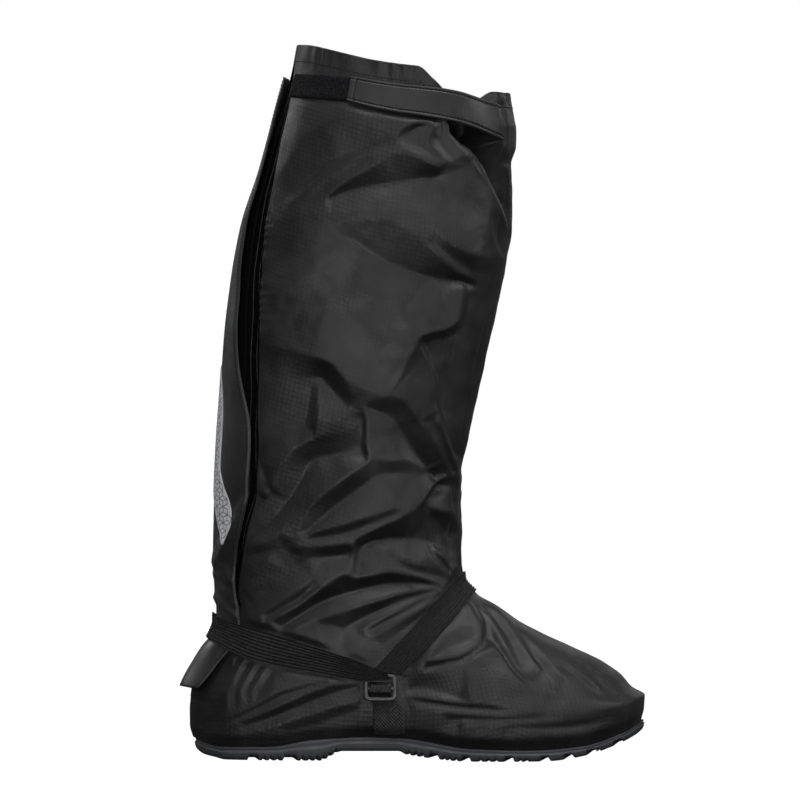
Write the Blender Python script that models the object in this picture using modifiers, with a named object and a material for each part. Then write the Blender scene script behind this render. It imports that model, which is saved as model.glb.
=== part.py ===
"""Rain overboot for the right foot: a coated-fabric upper with a tall shaft on a thin lugged rubber sole.

The upper is a loft of level sections, from the sole's edge up to the collar. Each section is worked out from
its back and front reach and from half-widths at the heel, waist and ball. Everything that lies on the upper
is placed by an angle round the section and a height, and is lifted off the upper's own surface.
X points to the toe, Y to the inner side of the foot and Z up. The origin is on the floor under the heel.
"""

import math
from collections import namedtuple

import bmesh
import bpy
from mathutils import Matrix, Vector

MM = 0.001

# Thicknesses and the gap that neighbouring pieces keep
WALL = 1.2 * MM
GAP = 0.3 * MM
SEAM_GAP = 0.6 * MM
TAPE = 0.8 * MM
FLAP = 1.2 * MM
FILM = 0.5 * MM
LOOP_PILE = 1.4 * MM
CUFF = 1.6 * MM
ELASTIC = 1.4 * MM
WEB = 1.2 * MM

# Main heights
JOINT = 12 * MM  # mean height of the seam between upper and sole
COLLAR = 460 * MM  # mean height of the collar
SEAM_REACH = 62 * MM  # sections above this height are level
COLLAR_REACH = 380 * MM  # sections above this height tilt with the collar

# Stations along a section where its half-width is given, as shares of its length
HEEL_STATION = 0.15
WAIST_STATION = 0.45
BALL_STATION = 0.74
TOE_FULLNESS = 2.45  # how square the toe end of a section may be; 2 is an ellipse

Section = namedtuple("Section", "height back front heel waist ball arch skew fullness")
UPPER_SECTIONS = [
    Section(12, -29.0, 271.5, 34.5, 37.5, 50.5, 6.0, 9.0, 3.0),
    Section(20, -31.0, 274.0, 37.0, 42.0, 54.0, 5.0, 9.0, 3.0),
    Section(32, -31.0, 274.5, 37.5, 43.0, 53.5, 4.0, 9.0, 3.0),
    Section(44, -30.0, 265.5, 37.0, 43.0, 50.5, 3.0, 9.0, 3.0),
    Section(54, -27.5, 258.5, 36.0, 42.5, 47.0, 2.0, 8.5, 2.9),
    Section(63, -24.5, 246.5, 35.0, 42.0, 43.5, 1.0, 7.5, 2.8),
    Section(73, -20.0, 227.0, 34.5, 41.5, 41.0, 0.0, 6.0, 2.7),
    Section(82, -14.5, 207.0, 34.0, 41.0, 39.0, 0.0, 5.0, 2.6),
    Section(91, -11.5, 189.5, 33.5, 41.0, 38.0, 0.0, 4.0, 2.5),
    Section(101, -11.5, 174.5, 33.0, 41.0, 37.5, 0.0, 3.0, 2.4),
    Section(110, -12.5, 161.0, 33.0, 41.5, 37.5, 0.0, 2.0, 2.4),
    Section(120, -13.0, 152.5, 33.0, 42.0, 38.0, 0.0, 1.0, 2.3),
    Section(136, -13.5, 151.5, 34.0, 43.0, 39.0, 0.0, 0.0, 2.3),
    Section(158, -13.0, 150.5, 35.5, 45.0, 41.0, 0.0, 0.0, 2.3),
    Section(184, -12.3, 149.3, 37.5, 48.0, 44.0, 0.0, 0.0, 2.3),
    Section(214, -10.8, 156.0, 40.0, 51.0, 46.5, 0.0, 0.0, 2.3),
    Section(248, -8.3, 162.5, 42.0, 54.0, 49.0, 0.0, 0.0, 2.3),
    Section(284, -5.5, 171.5, 44.5, 57.0, 52.0, 0.0, 0.0, 2.3),
    Section(318, -1.0, 178.0, 46.0, 59.0, 54.0, 0.0, 0.0, 2.3),
    Section(350, 5.0, 183.5, 47.0, 60.5, 55.5, 0.0, 0.0, 2.3),
    Section(376, 12.5, 184.5, 47.5, 61.0, 56.0, 0.0, 0.0, 2.3),
    Section(398, 20.5, 184.5, 47.5, 61.0, 56.0, 0.0, 0.0, 2.3),
    Section(416, 27.0, 187.5, 47.5, 60.5, 55.5, 0.0, 0.0, 2.3),
    Section(432, 33.5, 187.5, 47.0, 60.0, 55.0, 0.0, 0.0, 2.3),
    Section(446, 38.0, 185.5, 47.0, 59.5, 54.5, 0.0, 0.0, 2.3),
    Section(460, 41.0, 182.5, 46.5, 59.0, 54.0, 0.0, 0.0, 2.3),
]
SOLE_SECTION = Section(0, -27.5, 274.0, 35.5, 39.0, 53.0, 6.0, 9.0, 3.0)

# How far the collar rises above its mean height, round the section
CollarRow = namedtuple("CollarRow", "angle rise")
COLLAR_RISE = [
    CollarRow(0, 16.0),
    CollarRow(30, 13.2),
    CollarRow(45, 10.0),
    CollarRow(60, 5.8),
    CollarRow(75, 1.8),
    CollarRow(90, -1.0),
    CollarRow(98, -2.0),
    CollarRow(106, -8.5),
    CollarRow(120, -14.0),
    CollarRow(135, -16.5),
    CollarRow(150, -17.5),
    CollarRow(180, -17.0),
]

# The deep pleat that the cuff strap draws in, on the outer side of the front. The mesh's columns follow its rows
PleatRow = namedtuple("PleatRow", "height middle half depth")
PLEAT_ROWS = [
    PleatRow(284, 140, 40, 0),
    PleatRow(340, 166, 14, 0),
    PleatRow(376, 155, 14, 14),
    PleatRow(398, 146, 16, 22),
    PleatRow(416, 138, 18, 27),
    PleatRow(432, 133, 20, 29),
    PleatRow(460, 133, 20, 24),
]
PLEAT_AIM = 0.72  # place along a section, from back to front, that the pleat is drawn towards
PLEAT_COLLAR_DIP = 13 * MM
PLEAT_DIP_ANGLE = 125
PLEAT_DIP_HALF = 24

# The sole's top edge and underside along its length
SoleRow = namedtuple("SoleRow", "along height")
SOLE_TOP = [
    SoleRow(-28, 13.5),
    SoleRow(-8, 8.8),
    SoleRow(24, 9.4),
    SoleRow(52, 13.7),
    SoleRow(90, 15.8),
    SoleRow(112, 15.0),
    SoleRow(157, 8.4),
    SoleRow(200, 7.4),
    SoleRow(230, 9.4),
    SoleRow(259, 17.8),
    SoleRow(274, 25.0),
]
SOLE_UNDERSIDE = [
    SoleRow(-28, 6.5),
    SoleRow(-21, 3.0),
    SoleRow(-13, 1.4),
    SoleRow(-6, 0.0),
    SoleRow(56, 0.0),
    SoleRow(72, 6.4),
    SoleRow(109, 6.4),
    SoleRow(114, 4.2),
    SoleRow(155, 0.0),
    SoleRow(206, 0.0),
    SoleRow(232, 3.0),
    SoleRow(252.5, 9.0),
    SoleRow(267, 15.0),
    SoleRow(274, 19.0),
]
# Rings of the sole's side, from the underside up to the foot bed
SideRing = namedtuple("SideRing", "inset share")
SOLE_SIDE = [
    SideRing(4.0, 0.0),
    SideRing(1.4, 0.14),
    SideRing(0.4, 0.34),
    SideRing(0.0, 0.62),
    SideRing(0.9, 0.68),
    SideRing(0.6, 1.0),
]
SOLE_COLUMNS = 64

# Grooves between the main lugs: place at the sole's rim, width along the foot and angle in plan
Groove = namedtuple("Groove", "along width slant")
GROOVES = [
    Groove(14, 6.5, 8),
    Groove(38, 7.5, 8),
    Groove(132, 6.5, -10),
    Groove(154, 6.0, -10),
    Groove(183, 6.0, -10),
    Groove(206, 6.0, -10),
    Groove(221, 6.0, -11),
    Groove(235, 6.0, -12),
    Groove(250, 5.0, -14),
]
GROOVE_DEPTH = 2.6 * MM
SPINE_HALF = 7 * MM  # the uncut rib along the middle of the tread
RIM_HALF = 42 * MM
GROOVE_REACH = 75 * MM

# The upper's mesh and its rear slit, which the zip closes
BACK_SPANS = 5
SIDE_SPANS = 13
PLEAT_SPANS = 12
INNER_SPANS = 24
SLIT_FOOT = 101 * MM
SLIT_ANGLE = 10
SLIT_TOP_SHARE = 0.15  # the slit's width at the collar, against its width below
SLIT_TAPER_FOOT = 430 * MM
ZIP_OVERLAP_ANGLE = 4
ZIP_MARGIN = 0.1  # places across the slit, as shares of its width
ZIP_COIL_PLACE = 0.4
ZIP_COIL_HALF = 0.16
ZIP_COIL_RISE = 1.1 * MM
ZIP_TOP = 436 * MM
ZIP_ROWS = 20
ZipRow = namedtuple("ZipRow", "height edge")  # edge: angle of the side panel's rear edge
ZIP_PATH = [
    ZipRow(90, 34),
    ZipRow(105, 34),
    ZipRow(130, 38.5),
    ZipRow(150, 42),
    ZipRow(180, 48.5),
    ZipRow(206, 48),
    ZipRow(230, 45.5),
    ZipRow(268, 43),
    ZipRow(308, 38.5),
    ZipRow(334, 36),
    ZipRow(362, 32),
    ZipRow(388, 28.5),
    ZipRow(415, 23),
    ZipRow(431, 19),
    ZipRow(446, 11),
    ZipRow(460, 3),
]

# The storm flap down the back: its edge angles and how far it stands off the upper
FlapRow = namedtuple("FlapRow", "height outer_edge inner_edge middle_lift outer_lift")
FLAP_ROWS = [
    FlapRow(440, 13, -38, 0.7, 4.2),
    FlapRow(420, 15, -40, 0.7, 4.2),
    FlapRow(398, 17, -42, 0.7, 4.0),
    FlapRow(370, 20, -43, 1.1, 4.2),
    FlapRow(339, 23, -44, 1.4, 4.2),
    FlapRow(306, 26, -45, 1.2, 4.0),
    FlapRow(274, 30, -45, 0.9, 3.6),
    FlapRow(245, 37, -45, 0.8, 3.4),
    FlapRow(217, 44, -45, 0.8, 3.2),
    FlapRow(196, 45, -44, 0.8, 3.0),
    FlapRow(176, 45, -43, 0.8, 2.6),
    FlapRow(157, 41, -41, 0.8, 2.0),
    FlapRow(138, 36, -38, 0.7, 1.4),
    FlapRow(120, 34, -36, 0.6, 0.8),
    FlapRow(101, 33, -34, 0.5, 0.5),
    FlapRow(82, 32, -33, 0.5, 0.5),
    FlapRow(73, 31, -32, 2.0, 0.9),
    FlapRow(63, 27, -32, 3.6, 3.0),
    FlapRow(54, 24, -31, 5.6, 5.2),
    FlapRow(46, 21, -30, 7.0, 7.0),
]
FLAP_SPANS = 16

# The reflective strip on the flap: its edge angles
StripRow = namedtuple("StripRow", "height outer_edge inner_edge")
STRIP_ROWS = [
    StripRow(262, 7, -8),
    StripRow(245, 16, -16),
    StripRow(217, 20, -20),
    StripRow(196, 20, -20),
    StripRow(184, 25, -8),
    StripRow(176, 29, 2),
    StripRow(168, 32, 11),
    StripRow(157, 34, 17),
    StripRow(149, 32, 21),
    StripRow(143, 30, 23),
]
STRIP_SPANS = 10

# Cuff strap, and the loop patch that its end grips: true heights of their edges round the section
BandRow = namedtuple("BandRow", "angle low high")
CUFF_BAND = [
    BandRow(63, 435.5, 451.8),
    BandRow(69, 433.3, 450.6),
    BandRow(79, 430.2, 448.4),
    BandRow(89, 427.6, 446.7),
    BandRow(99, 425.8, 445.4),
    BandRow(109, 423.6, 444.1),
    BandRow(120, 420.8, 442.0),
    BandRow(132, 416.6, 438.2),
    BandRow(138, 414.2, 436.4),
    BandRow(154, 409.4, 433.4),
]
PATCH_BAND = [
    BandRow(20, 440.1, 455.4),
    BandRow(38, 438.3, 454.0),
    BandRow(52, 436.6, 452.5),
    BandRow(63, 435.4, 450.8),
    BandRow(76, 433.6, 449.0),
]
CUFF_SPANS = 14
PATCH_SPANS = 8
CUFF_OVER_PATCH = LOOP_PILE + 2 * GAP

# Elastic strap in two runs between the web tabs: heights of its edges round the section
ANKLE_BAND = [
    BandRow(0, 80.0, 97.0),
    BandRow(26, 74.0, 91.5),
    BandRow(51, 63.0, 83.5),
    BandRow(65, 58.0, 76.0),
    BandRow(72, 55.0, 71.5),
    BandRow(78, 52.5, 66.5),
    BandRow(82, 53.0, 61.5),
    BandRow(85, 53.5, 57.5),
]
INSTEP_BAND = [
    BandRow(84, 60.5, 65.2),
    BandRow(89, 58.3, 71.6),
    BandRow(98, 70.7, 81.8),
    BandRow(107, 79.8, 90.0),
    BandRow(118, 88.7, 98.9),
    BandRow(128, 95.6, 105.0),
    BandRow(145, 104.2, 113.3),
    BandRow(162, 109.0, 120.1),
    BandRow(180, 111.0, 124.0),
]
FLAP_REACH_ANGLE = 42  # the ankle run is lifted over the flap inside this angle
BAND_ROWS = 3

# Buckle on the outer side, and the web tabs that hold the strap to the sole
BUCKLE_ANGLE = 82.2
BUCKLE_HEIGHT = 48 * MM
BUCKLE_WIDTH = 21.5 * MM
BUCKLE_TALL = 18 * MM
BUCKLE_BAR = 2.6 * MM
BUCKLE_DEPTH = 2.2 * MM
BUCKLE_LIFT = 3.0 * MM
BUCKLE_MIDDLE = -0.8 * MM
BUCKLE_ROUND = 0.7 * MM
TAB_SPANS = 4
TabRow = namedtuple("TabRow", "height lift angle half_angle")
OUTER_TAB_ROWS = [
    TabRow(14.0, 0.5, 82.9, 4.0),
    TabRow(20.0, 0.5, 82.9, 4.0),
    TabRow(32.0, 0.5, 82.8, 4.0),
    TabRow(37.0, 0.5, 82.5, 3.6),
    TabRow(41.3, 0.6, 81.7, 2.8),
    TabRow(45.3, 5.8, 81.9, 2.8),
    TabRow(49.0, 5.8, 82.3, 2.8),
    TabRow(51.8, 2.8, 82.5, 2.8),
]
INNER_TAB_ROWS = [
    TabRow(14.0, 1.3, -82.9, 4.0),
    TabRow(20.0, 1.3, -82.9, 4.0),
    TabRow(32.0, 1.3, -82.9, 4.0),
    TabRow(44.0, 1.4, -82.9, 4.0),
    TabRow(51.0, 4.4, -83.2, 4.0),
    TabRow(60.0, 4.4, -84.0, 4.2),
    TabRow(68.0, 4.4, -85.0, 4.4),
]

# Colours as the pieces look under soft light
FABRIC_BLACK = (0.018, 0.018, 0.020, 1.0)
TRIM_BLACK = (0.010, 0.010, 0.011, 1.0)
RUBBER_GREY = (0.045, 0.045, 0.050, 1.0)
BUCKLE_GREY = (0.030, 0.030, 0.032, 1.0)
REFLECTIVE_GREY = (0.42, 0.43, 0.44, 1.0)


# Small numeric helpers
def smooth(value):
    """Eases 0 to 1."""
    value = min(1.0, max(0.0, value))
    return value * value * (3 - 2 * value)


def bell(value):
    """1 at 0, easing to 0 at -1 and 1."""
    return 0.5 * (1 + math.cos(math.pi * value)) if abs(value) < 1 else 0.0


def along_table(table, key, column, at):
    """A column of a table, read by straight lines between its rows. The rows may run up or down."""
    rows = sorted(table, key=lambda row: getattr(row, key))
    if at <= getattr(rows[0], key):
        return getattr(rows[0], column)
    for low, high in zip(rows, rows[1:]):
        start, end = getattr(low, key), getattr(high, key)
        if at <= end:
            share = (at - start) / (end - start)
            return getattr(low, column) * (1 - share) + getattr(high, column) * share
    return getattr(rows[-1], column)


# The upper's surface
def section_at(height):
    """The section at a height in metres, with its sizes in millimetres."""
    level = height / MM
    columns = [along_table(UPPER_SECTIONS, "height", name, level) for name in Section._fields[1:]]
    return Section(level, *columns)


def outline(section, angle, inset=0.0):
    """X and Y of a section's rim in metres. Angle 0 is the back, 90 the outer side and 180 the toe."""
    share = (1 - math.cos(math.radians(angle))) / 2
    inner = math.sin(math.radians(angle)) < 0

    def fill(at):
        power = section.fullness if at < 0.5 else min(section.fullness, TOE_FULLNESS)
        return max(0.0, 1 - abs(2 * at - 1) ** power) ** (1 / power)

    waist = section.waist - (section.arch if inner else 0)
    widths = [
        section.heel / fill(HEEL_STATION),
        waist / fill(WAIST_STATION),
        section.ball / fill(BALL_STATION),
    ]
    to_waist = smooth((share - HEEL_STATION) / (WAIST_STATION - HEEL_STATION))
    to_ball = smooth((share - WAIST_STATION) / (BALL_STATION - WAIST_STATION))
    width = widths[0] + (widths[1] - widths[0]) * to_waist + (widths[2] - widths[1]) * to_ball
    half = max(0.0, width * fill(share) - inset)
    skew = section.skew * smooth((share - WAIST_STATION) / (1 - WAIST_STATION))
    length = section.front - section.back
    x = section.back + length * share + inset * math.cos(math.radians(angle))
    return x * MM, (half if inner else -half) * MM + skew * MM


def sole_height(table, x):
    return along_table(table, "along", "height", x / MM) * MM


def pleat_at(level):
    """The pleat at a height in millimetres."""
    return PleatRow(level, *[along_table(PLEAT_ROWS, "height", name, level) for name in PleatRow._fields[1:]])


def surface(angle, height, pleated=True):
    """A point on the upper's outer face."""
    section = section_at(height)
    x, y = outline(section, angle)
    turned = (angle + 180) % 360 - 180
    seam = sole_height(SOLE_TOP, x) + SEAM_GAP - JOINT
    z = height + seam * (1 - smooth((height - JOINT) / (SEAM_REACH - JOINT)))
    rise = along_table(COLLAR_RISE, "angle", "rise", abs(turned)) * MM
    tilt = smooth((height - COLLAR_REACH) / (COLLAR - COLLAR_REACH))
    z += rise * tilt
    if pleated:
        pleat = pleat_at(section.height)
        depth = pleat.depth * MM * bell((turned - pleat.middle) / pleat.half)
        aim = Vector(((section.back + (section.front - section.back) * PLEAT_AIM) * MM, 0))
        inward = (aim - Vector((x, y))).normalized()
        x += inward.x * depth
        y += inward.y * depth
        z -= PLEAT_COLLAR_DIP * tilt * bell((turned - PLEAT_DIP_ANGLE) / PLEAT_DIP_HALF)
    return Vector((x, y, z))


def skin(angle, height, lift=0.0, pleated=True):
    """A point lifted off the upper's outer face, along the face's normal."""
    step_angle, step_height = 2.0, 3 * MM
    low = max(JOINT, height - step_height)
    high = min(COLLAR, height + step_height)
    across = surface(angle + step_angle, height, pleated) - surface(angle - step_angle, height, pleated)
    upward = surface(angle, high, pleated) - surface(angle, low, pleated)
    return surface(angle, height, pleated) + across.cross(upward).normalized() * lift


def mean_height(angle, up):
    """Height of the section that meets a place at a true height, where the collar slopes."""
    rise = along_table(COLLAR_RISE, "angle", "rise", abs(angle)) * MM
    height = up
    for _ in range(12):
        height = up - rise * smooth((height - COLLAR_REACH) / (COLLAR - COLLAR_REACH))
    return height


# Building blocks
def material(name, colour, roughness):
    made = bpy.data.materials.new(name)
    made.use_nodes = True
    shader = made.node_tree.nodes["Principled BSDF"]
    shader.inputs["Base Color"].default_value = colour
    shader.inputs["Roughness"].default_value = roughness
    shader.inputs["Metallic"].default_value = 0.0
    return made


def add_object(name, mesh, finish, collection):
    made = bpy.data.objects.new(name, mesh)
    made.data.materials.append(finish)
    collection.objects.link(made)
    return made


def grid_mesh(name, rows, closed=False, left_out=()):
    """A mesh of quads through rows of points. left_out holds the (row, column) quads to omit."""
    mesh = bmesh.new()
    points = [[mesh.verts.new(point) for point in row] for row in rows]
    columns = len(rows[0]) if closed else len(rows[0]) - 1
    for i in range(len(rows) - 1):
        for j in range(columns):
            if (i, j) in left_out:
                continue
            k = (j + 1) % len(rows[0])
            mesh.faces.new((points[i][j], points[i][k], points[i + 1][k], points[i + 1][j]))
    data = bpy.data.meshes.new(name)
    mesh.to_mesh(data)
    mesh.free()
    data.shade_smooth()
    return data


def thicken(made, thickness, outward=True):
    """Gives an open sheet its thickness, to the side that its normals face or away from it."""
    solidify = made.modifiers.new("Thickness", "SOLIDIFY")
    solidify.thickness = thickness
    solidify.offset = 1 if outward else -1
    solidify.use_even_offset = True
    return made


def spread(start, end, spans):
    return [start + (end - start) * i / spans for i in range(spans + 1)]


# The pieces
def slit_edge(height):
    return along_table(ZIP_PATH, "height", "edge", height / MM)


def slit_width(height):
    """Angle across the rear slit, which narrows towards the collar."""
    taper = smooth((height - SLIT_TAPER_FOOT) / (COLLAR - SLIT_TAPER_FOOT))
    return SLIT_ANGLE * (1 - (1 - SLIT_TOP_SHARE) * taper)


def make_upper(finish, collection):
    """Shaft, vamp and heel in one wall, open at the collar, along the rear slit and under the foot."""

    def angles(height):
        edge = slit_edge(height)
        back = spread(0, edge - slit_width(height), BACK_SPANS)
        pleat = pleat_at(height / MM)
        start, end = pleat.middle - pleat.half, pleat.middle + pleat.half
        side = spread(edge, start, SIDE_SPANS)
        front = spread(start, end, PLEAT_SPANS)
        inner = spread(end, 360, INNER_SPANS)
        return back + side + front[1:] + inner[1:-1]

    heights = [section.height * MM for section in UPPER_SECTIONS]
    rows = [[surface(angle, height) for angle in angles(height)] for height in heights]
    slit = {(i, BACK_SPANS) for i, height in enumerate(heights[:-1]) if height >= SLIT_FOOT}
    upper = add_object("upper", grid_mesh("upper", rows, closed=True, left_out=slit), finish, collection)
    return thicken(upper, WALL, outward=False)


def make_outsole(finish, collection, cutters):
    """The sole's side rings, closed by a foot bed and a tread that run straight across, then grooved."""
    angles = [360 * j / SOLE_COLUMNS for j in range(SOLE_COLUMNS)]
    rings = []
    for ring in SOLE_SIDE:
        points = []
        for angle in angles:
            x, y = outline(SOLE_SECTION, angle, ring.inset)
            low, high = sole_height(SOLE_UNDERSIDE, x), sole_height(SOLE_TOP, x)
            points.append(Vector((x, y, low + (high - low) * ring.share)))
        rings.append(points)
    mesh = bmesh.new()
    corners = [[mesh.verts.new(point) for point in ring] for ring in rings]
    for low, high in zip(corners, corners[1:]):
        for j in range(SOLE_COLUMNS):
            k = (j + 1) % SOLE_COLUMNS
            mesh.faces.new((low[j], low[k], high[k], high[j]))
    half = SOLE_COLUMNS // 2
    for ring, facing_up in ((corners[0], False), (corners[-1], True)):
        for j in range(half):
            face = [ring[j], ring[j + 1], ring[-j - 1], ring[-j % SOLE_COLUMNS]]
            face = list(dict.fromkeys(face))
            mesh.faces.new(face if facing_up else face[::-1])
    bmesh.ops.recalc_face_normals(mesh, faces=mesh.faces)
    data = bpy.data.meshes.new("outsole")
    mesh.to_mesh(data)
    mesh.free()
    sole = add_object("outsole", data, finish, collection)
    cut = sole.modifiers.new("Tread grooves", "BOOLEAN")
    cut.operation = "DIFFERENCE"
    cut.object = make_groove_cutter(cutters)
    return sole


def make_groove_cutter(cutters):
    """Boxes from the spine out past the sole's edge, one on each side for each groove."""
    mesh = bmesh.new()
    for groove in GROOVES:
        middle = groove.along * MM - math.tan(math.radians(groove.slant)) * RIM_HALF
        top = sole_height(SOLE_UNDERSIDE, groove.along * MM) + GROOVE_DEPTH
        for side in (-1, 1):
            slant = Matrix.Rotation(math.radians(-side * groove.slant), 4, "Z")
            shift = Matrix.Translation((0, side * (SPINE_HALF + GROOVE_REACH / 2), 0))
            place = Matrix.Translation((middle, 0, top / 2 - GROOVE_DEPTH))
            size = Matrix.Diagonal((groove.width * MM, GROOVE_REACH, top + 2 * GROOVE_DEPTH, 1))
            bmesh.ops.create_cube(mesh, size=1, matrix=place @ slant @ shift @ size)
    data = bpy.data.meshes.new("groove_cutter")
    mesh.to_mesh(data)
    mesh.free()
    cutter = bpy.data.objects.new("groove_cutter", data)
    cutter.hide_render = True
    cutter.display_type = "WIRE"
    cutters.objects.link(cutter)
    return cutter


def make_rear_zip(finish, collection):
    """Zip tape behind the slit, with the coil standing in the slit."""
    rows = []
    for height in spread(SLIT_FOOT + 2 * GAP, ZIP_TOP, ZIP_ROWS):
        edge, width = slit_edge(height), slit_width(height)
        behind = -(WALL + 3 * GAP + TAPE)
        stations = [
            (edge - width - ZIP_OVERLAP_ANGLE, behind),
            (edge - width * (1 - ZIP_MARGIN), behind),
            (edge - width * (ZIP_COIL_PLACE + ZIP_COIL_HALF), behind + ZIP_COIL_RISE),
            (edge - width * (ZIP_COIL_PLACE - ZIP_COIL_HALF), behind + ZIP_COIL_RISE),
            (edge - width * ZIP_MARGIN, behind),
            (edge + ZIP_OVERLAP_ANGLE, behind),
        ]
        rows.append([skin(angle, height, lift) for angle, lift in stations])
    return thicken(add_object("rear_zip", grid_mesh("rear_zip", rows), finish, collection), TAPE)


def flap_lift(angle, height):
    """How far the flap's inner face stands off the upper: least at the sewn inner edge, most at the free one."""
    level = height / MM
    outer_edge = along_table(FLAP_ROWS, "height", "outer_edge", level)
    inner_edge = along_table(FLAP_ROWS, "height", "inner_edge", level)
    middle = along_table(FLAP_ROWS, "height", "middle_lift", level) * MM
    outer = along_table(FLAP_ROWS, "height", "outer_lift", level) * MM
    if angle > 0:
        return middle + (outer - middle) * smooth(angle / outer_edge)
    sewn = min(middle, 2 * GAP)
    return middle + (sewn - middle) * smooth(angle / inner_edge)


def make_rear_flap(finish, collection):
    rows = []
    for row in reversed(FLAP_ROWS):
        height = row.height * MM
        angles = spread(row.inner_edge, row.outer_edge, FLAP_SPANS)
        rows.append([skin(angle, height, flap_lift(angle, height)) for angle in angles])
    return thicken(add_object("rear_flap", grid_mesh("rear_flap", rows), finish, collection), FLAP)


def make_reflective_strip(finish, collection):
    rows = []
    for row in reversed(STRIP_ROWS):
        height = row.height * MM
        angles = spread(row.inner_edge, row.outer_edge, STRIP_SPANS)
        rows.append([skin(angle, height, flap_lift(angle, height) + FLAP + 3 * GAP) for angle in angles])
    strip = add_object("reflective_strip", grid_mesh("reflective_strip", rows), finish, collection)
    return thicken(strip, FILM)


def collar_band_rows(table, spans, lift):
    """Rows of points across a band on the collar. It bridges the pleat, so it follows the unpleated section."""
    rows = []
    for share in (0, 0.5, 1):
        row = []
        for angle in spread(table[0].angle, table[-1].angle, spans):
            low = along_table(table, "angle", "low", angle) * MM
            high = along_table(table, "angle", "high", angle) * MM
            row.append(skin(angle, mean_height(angle, low + (high - low) * share), lift, pleated=False))
        rows.append(row)
    return rows


def make_loop_patch(finish, collection):
    rows = collar_band_rows(PATCH_BAND, PATCH_SPANS, GAP)
    return thicken(add_object("loop_patch", grid_mesh("loop_patch", rows), finish, collection), LOOP_PILE)


def make_cuff_strap(finish, collection):
    """A tab from the front seam to the loop patch."""
    rows = collar_band_rows(CUFF_BAND, CUFF_SPANS, CUFF_OVER_PATCH)
    return thicken(add_object("cuff_strap", grid_mesh("cuff_strap", rows), finish, collection), CUFF)


def band_rows(table, angles, lift):
    """Rows of points across a band, from its low edge to its high edge."""
    rows = []
    for i in range(BAND_ROWS + 1):
        row = []
        for angle in angles:
            low = along_table(table, "angle", "low", abs(angle)) * MM
            high = along_table(table, "angle", "high", abs(angle)) * MM
            row.append(skin(angle, low + (high - low) * i / BAND_ROWS, lift(angle)))
        rows.append(row)
    return rows


def make_ankle_elastic(finish, collection):
    """From the buckle, round the back over the flap, to the inner web tab."""

    def lift(angle):
        over_flap = (FLAP + 5 * GAP) * (1 - smooth((abs(angle) - FLAP_REACH_ANGLE) / 10))
        over_buckle = 6.2 * MM * smooth((abs(angle) - 70) / 12)
        over_instep = (ELASTIC + 2 * GAP) * smooth((abs(angle) - 62) / 12)
        return 2 * GAP + over_flap + (over_buckle if angle > 0 else over_instep)

    end = ANKLE_BAND[-1].angle
    rows = band_rows(ANKLE_BAND, spread(-end, end, 36), lift)
    return thicken(add_object("ankle_elastic", grid_mesh("ankle_elastic", rows), finish, collection), ELASTIC)


def make_instep_elastic(finish, collection):
    """From behind the buckle, over the instep, to the inner web tab."""
    start = INSTEP_BAND[0].angle
    angles = spread(start, 180, 16) + spread(-180, -start, 16)[1:]
    rows = band_rows(INSTEP_BAND, angles, lambda angle: 2 * GAP)
    return thicken(add_object("instep_elastic", grid_mesh("instep_elastic", rows), finish, collection), ELASTIC)


def make_web_tab(name, table, finish, collection):
    rows = []
    for row in table:
        angles = spread(row.angle - row.half_angle, row.angle + row.half_angle, TAB_SPANS)
        rows.append([skin(angle, row.height * MM, row.lift * MM) for angle in angles])
    return thicken(add_object(name, grid_mesh(name, rows), finish, collection), WEB)


def make_buckle(finish, collection):
    """A three-bar slide: an upright rectangle with two windows, standing off the upper."""
    outer = [(-1, -1), (1, -1), (1, 1), (-1, 1)]
    half_wide, half_tall = BUCKLE_WIDTH / 2, BUCKLE_TALL / 2
    inside = half_wide - BUCKLE_BAR
    windows = [
        (-half_tall + BUCKLE_BAR, BUCKLE_MIDDLE - BUCKLE_BAR / 2),
        (BUCKLE_MIDDLE + BUCKLE_BAR / 2, half_tall - BUCKLE_BAR),
    ]
    curve = bpy.data.curves.new("buckle_outline", "CURVE")
    curve.dimensions = "2D"
    curve.fill_mode = "BOTH"
    curve.extrude = BUCKLE_DEPTH / 2
    loops = [[(half_wide * a, half_tall * b) for a, b in outer]]
    loops += [[(-inside, low), (inside, low), (inside, high), (-inside, high)] for low, high in windows]
    for loop in loops:
        spline = curve.splines.new("POLY")
        spline.points.add(len(loop) - 1)
        for point, (a, b) in zip(spline.points, loop):
            point.co = (a, b, 0, 1)
        spline.use_cyclic_u = True
    drawn = bpy.data.objects.new("buckle_outline", curve)
    collection.objects.link(drawn)
    bpy.context.view_layer.update()
    data = bpy.data.meshes.new_from_object(drawn.evaluated_get(bpy.context.evaluated_depsgraph_get()))
    bpy.data.objects.remove(drawn)
    mesh = bmesh.new()
    mesh.from_mesh(data)
    bmesh.ops.remove_doubles(mesh, verts=mesh.verts, dist=0.01 * MM)
    mesh.to_mesh(data)
    mesh.free()
    buckle = add_object("buckle", data, finish, collection)
    centre = skin(BUCKLE_ANGLE, BUCKLE_HEIGHT, BUCKLE_LIFT + BUCKLE_DEPTH / 2)
    outward = (centre - skin(BUCKLE_ANGLE, BUCKLE_HEIGHT)).normalized()
    across = Vector((1, 0, 0))
    across = (across - outward * across.dot(outward)).normalized()
    upward = outward.cross(across)
    buckle.matrix_world = Matrix.Translation(centre) @ Matrix((across, upward, outward)).transposed().to_4x4()
    bevel = buckle.modifiers.new("Rounded edges", "BEVEL")
    bevel.width = BUCKLE_ROUND
    bevel.segments = 1
    bevel.limit_method = "ANGLE"
    return buckle


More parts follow.
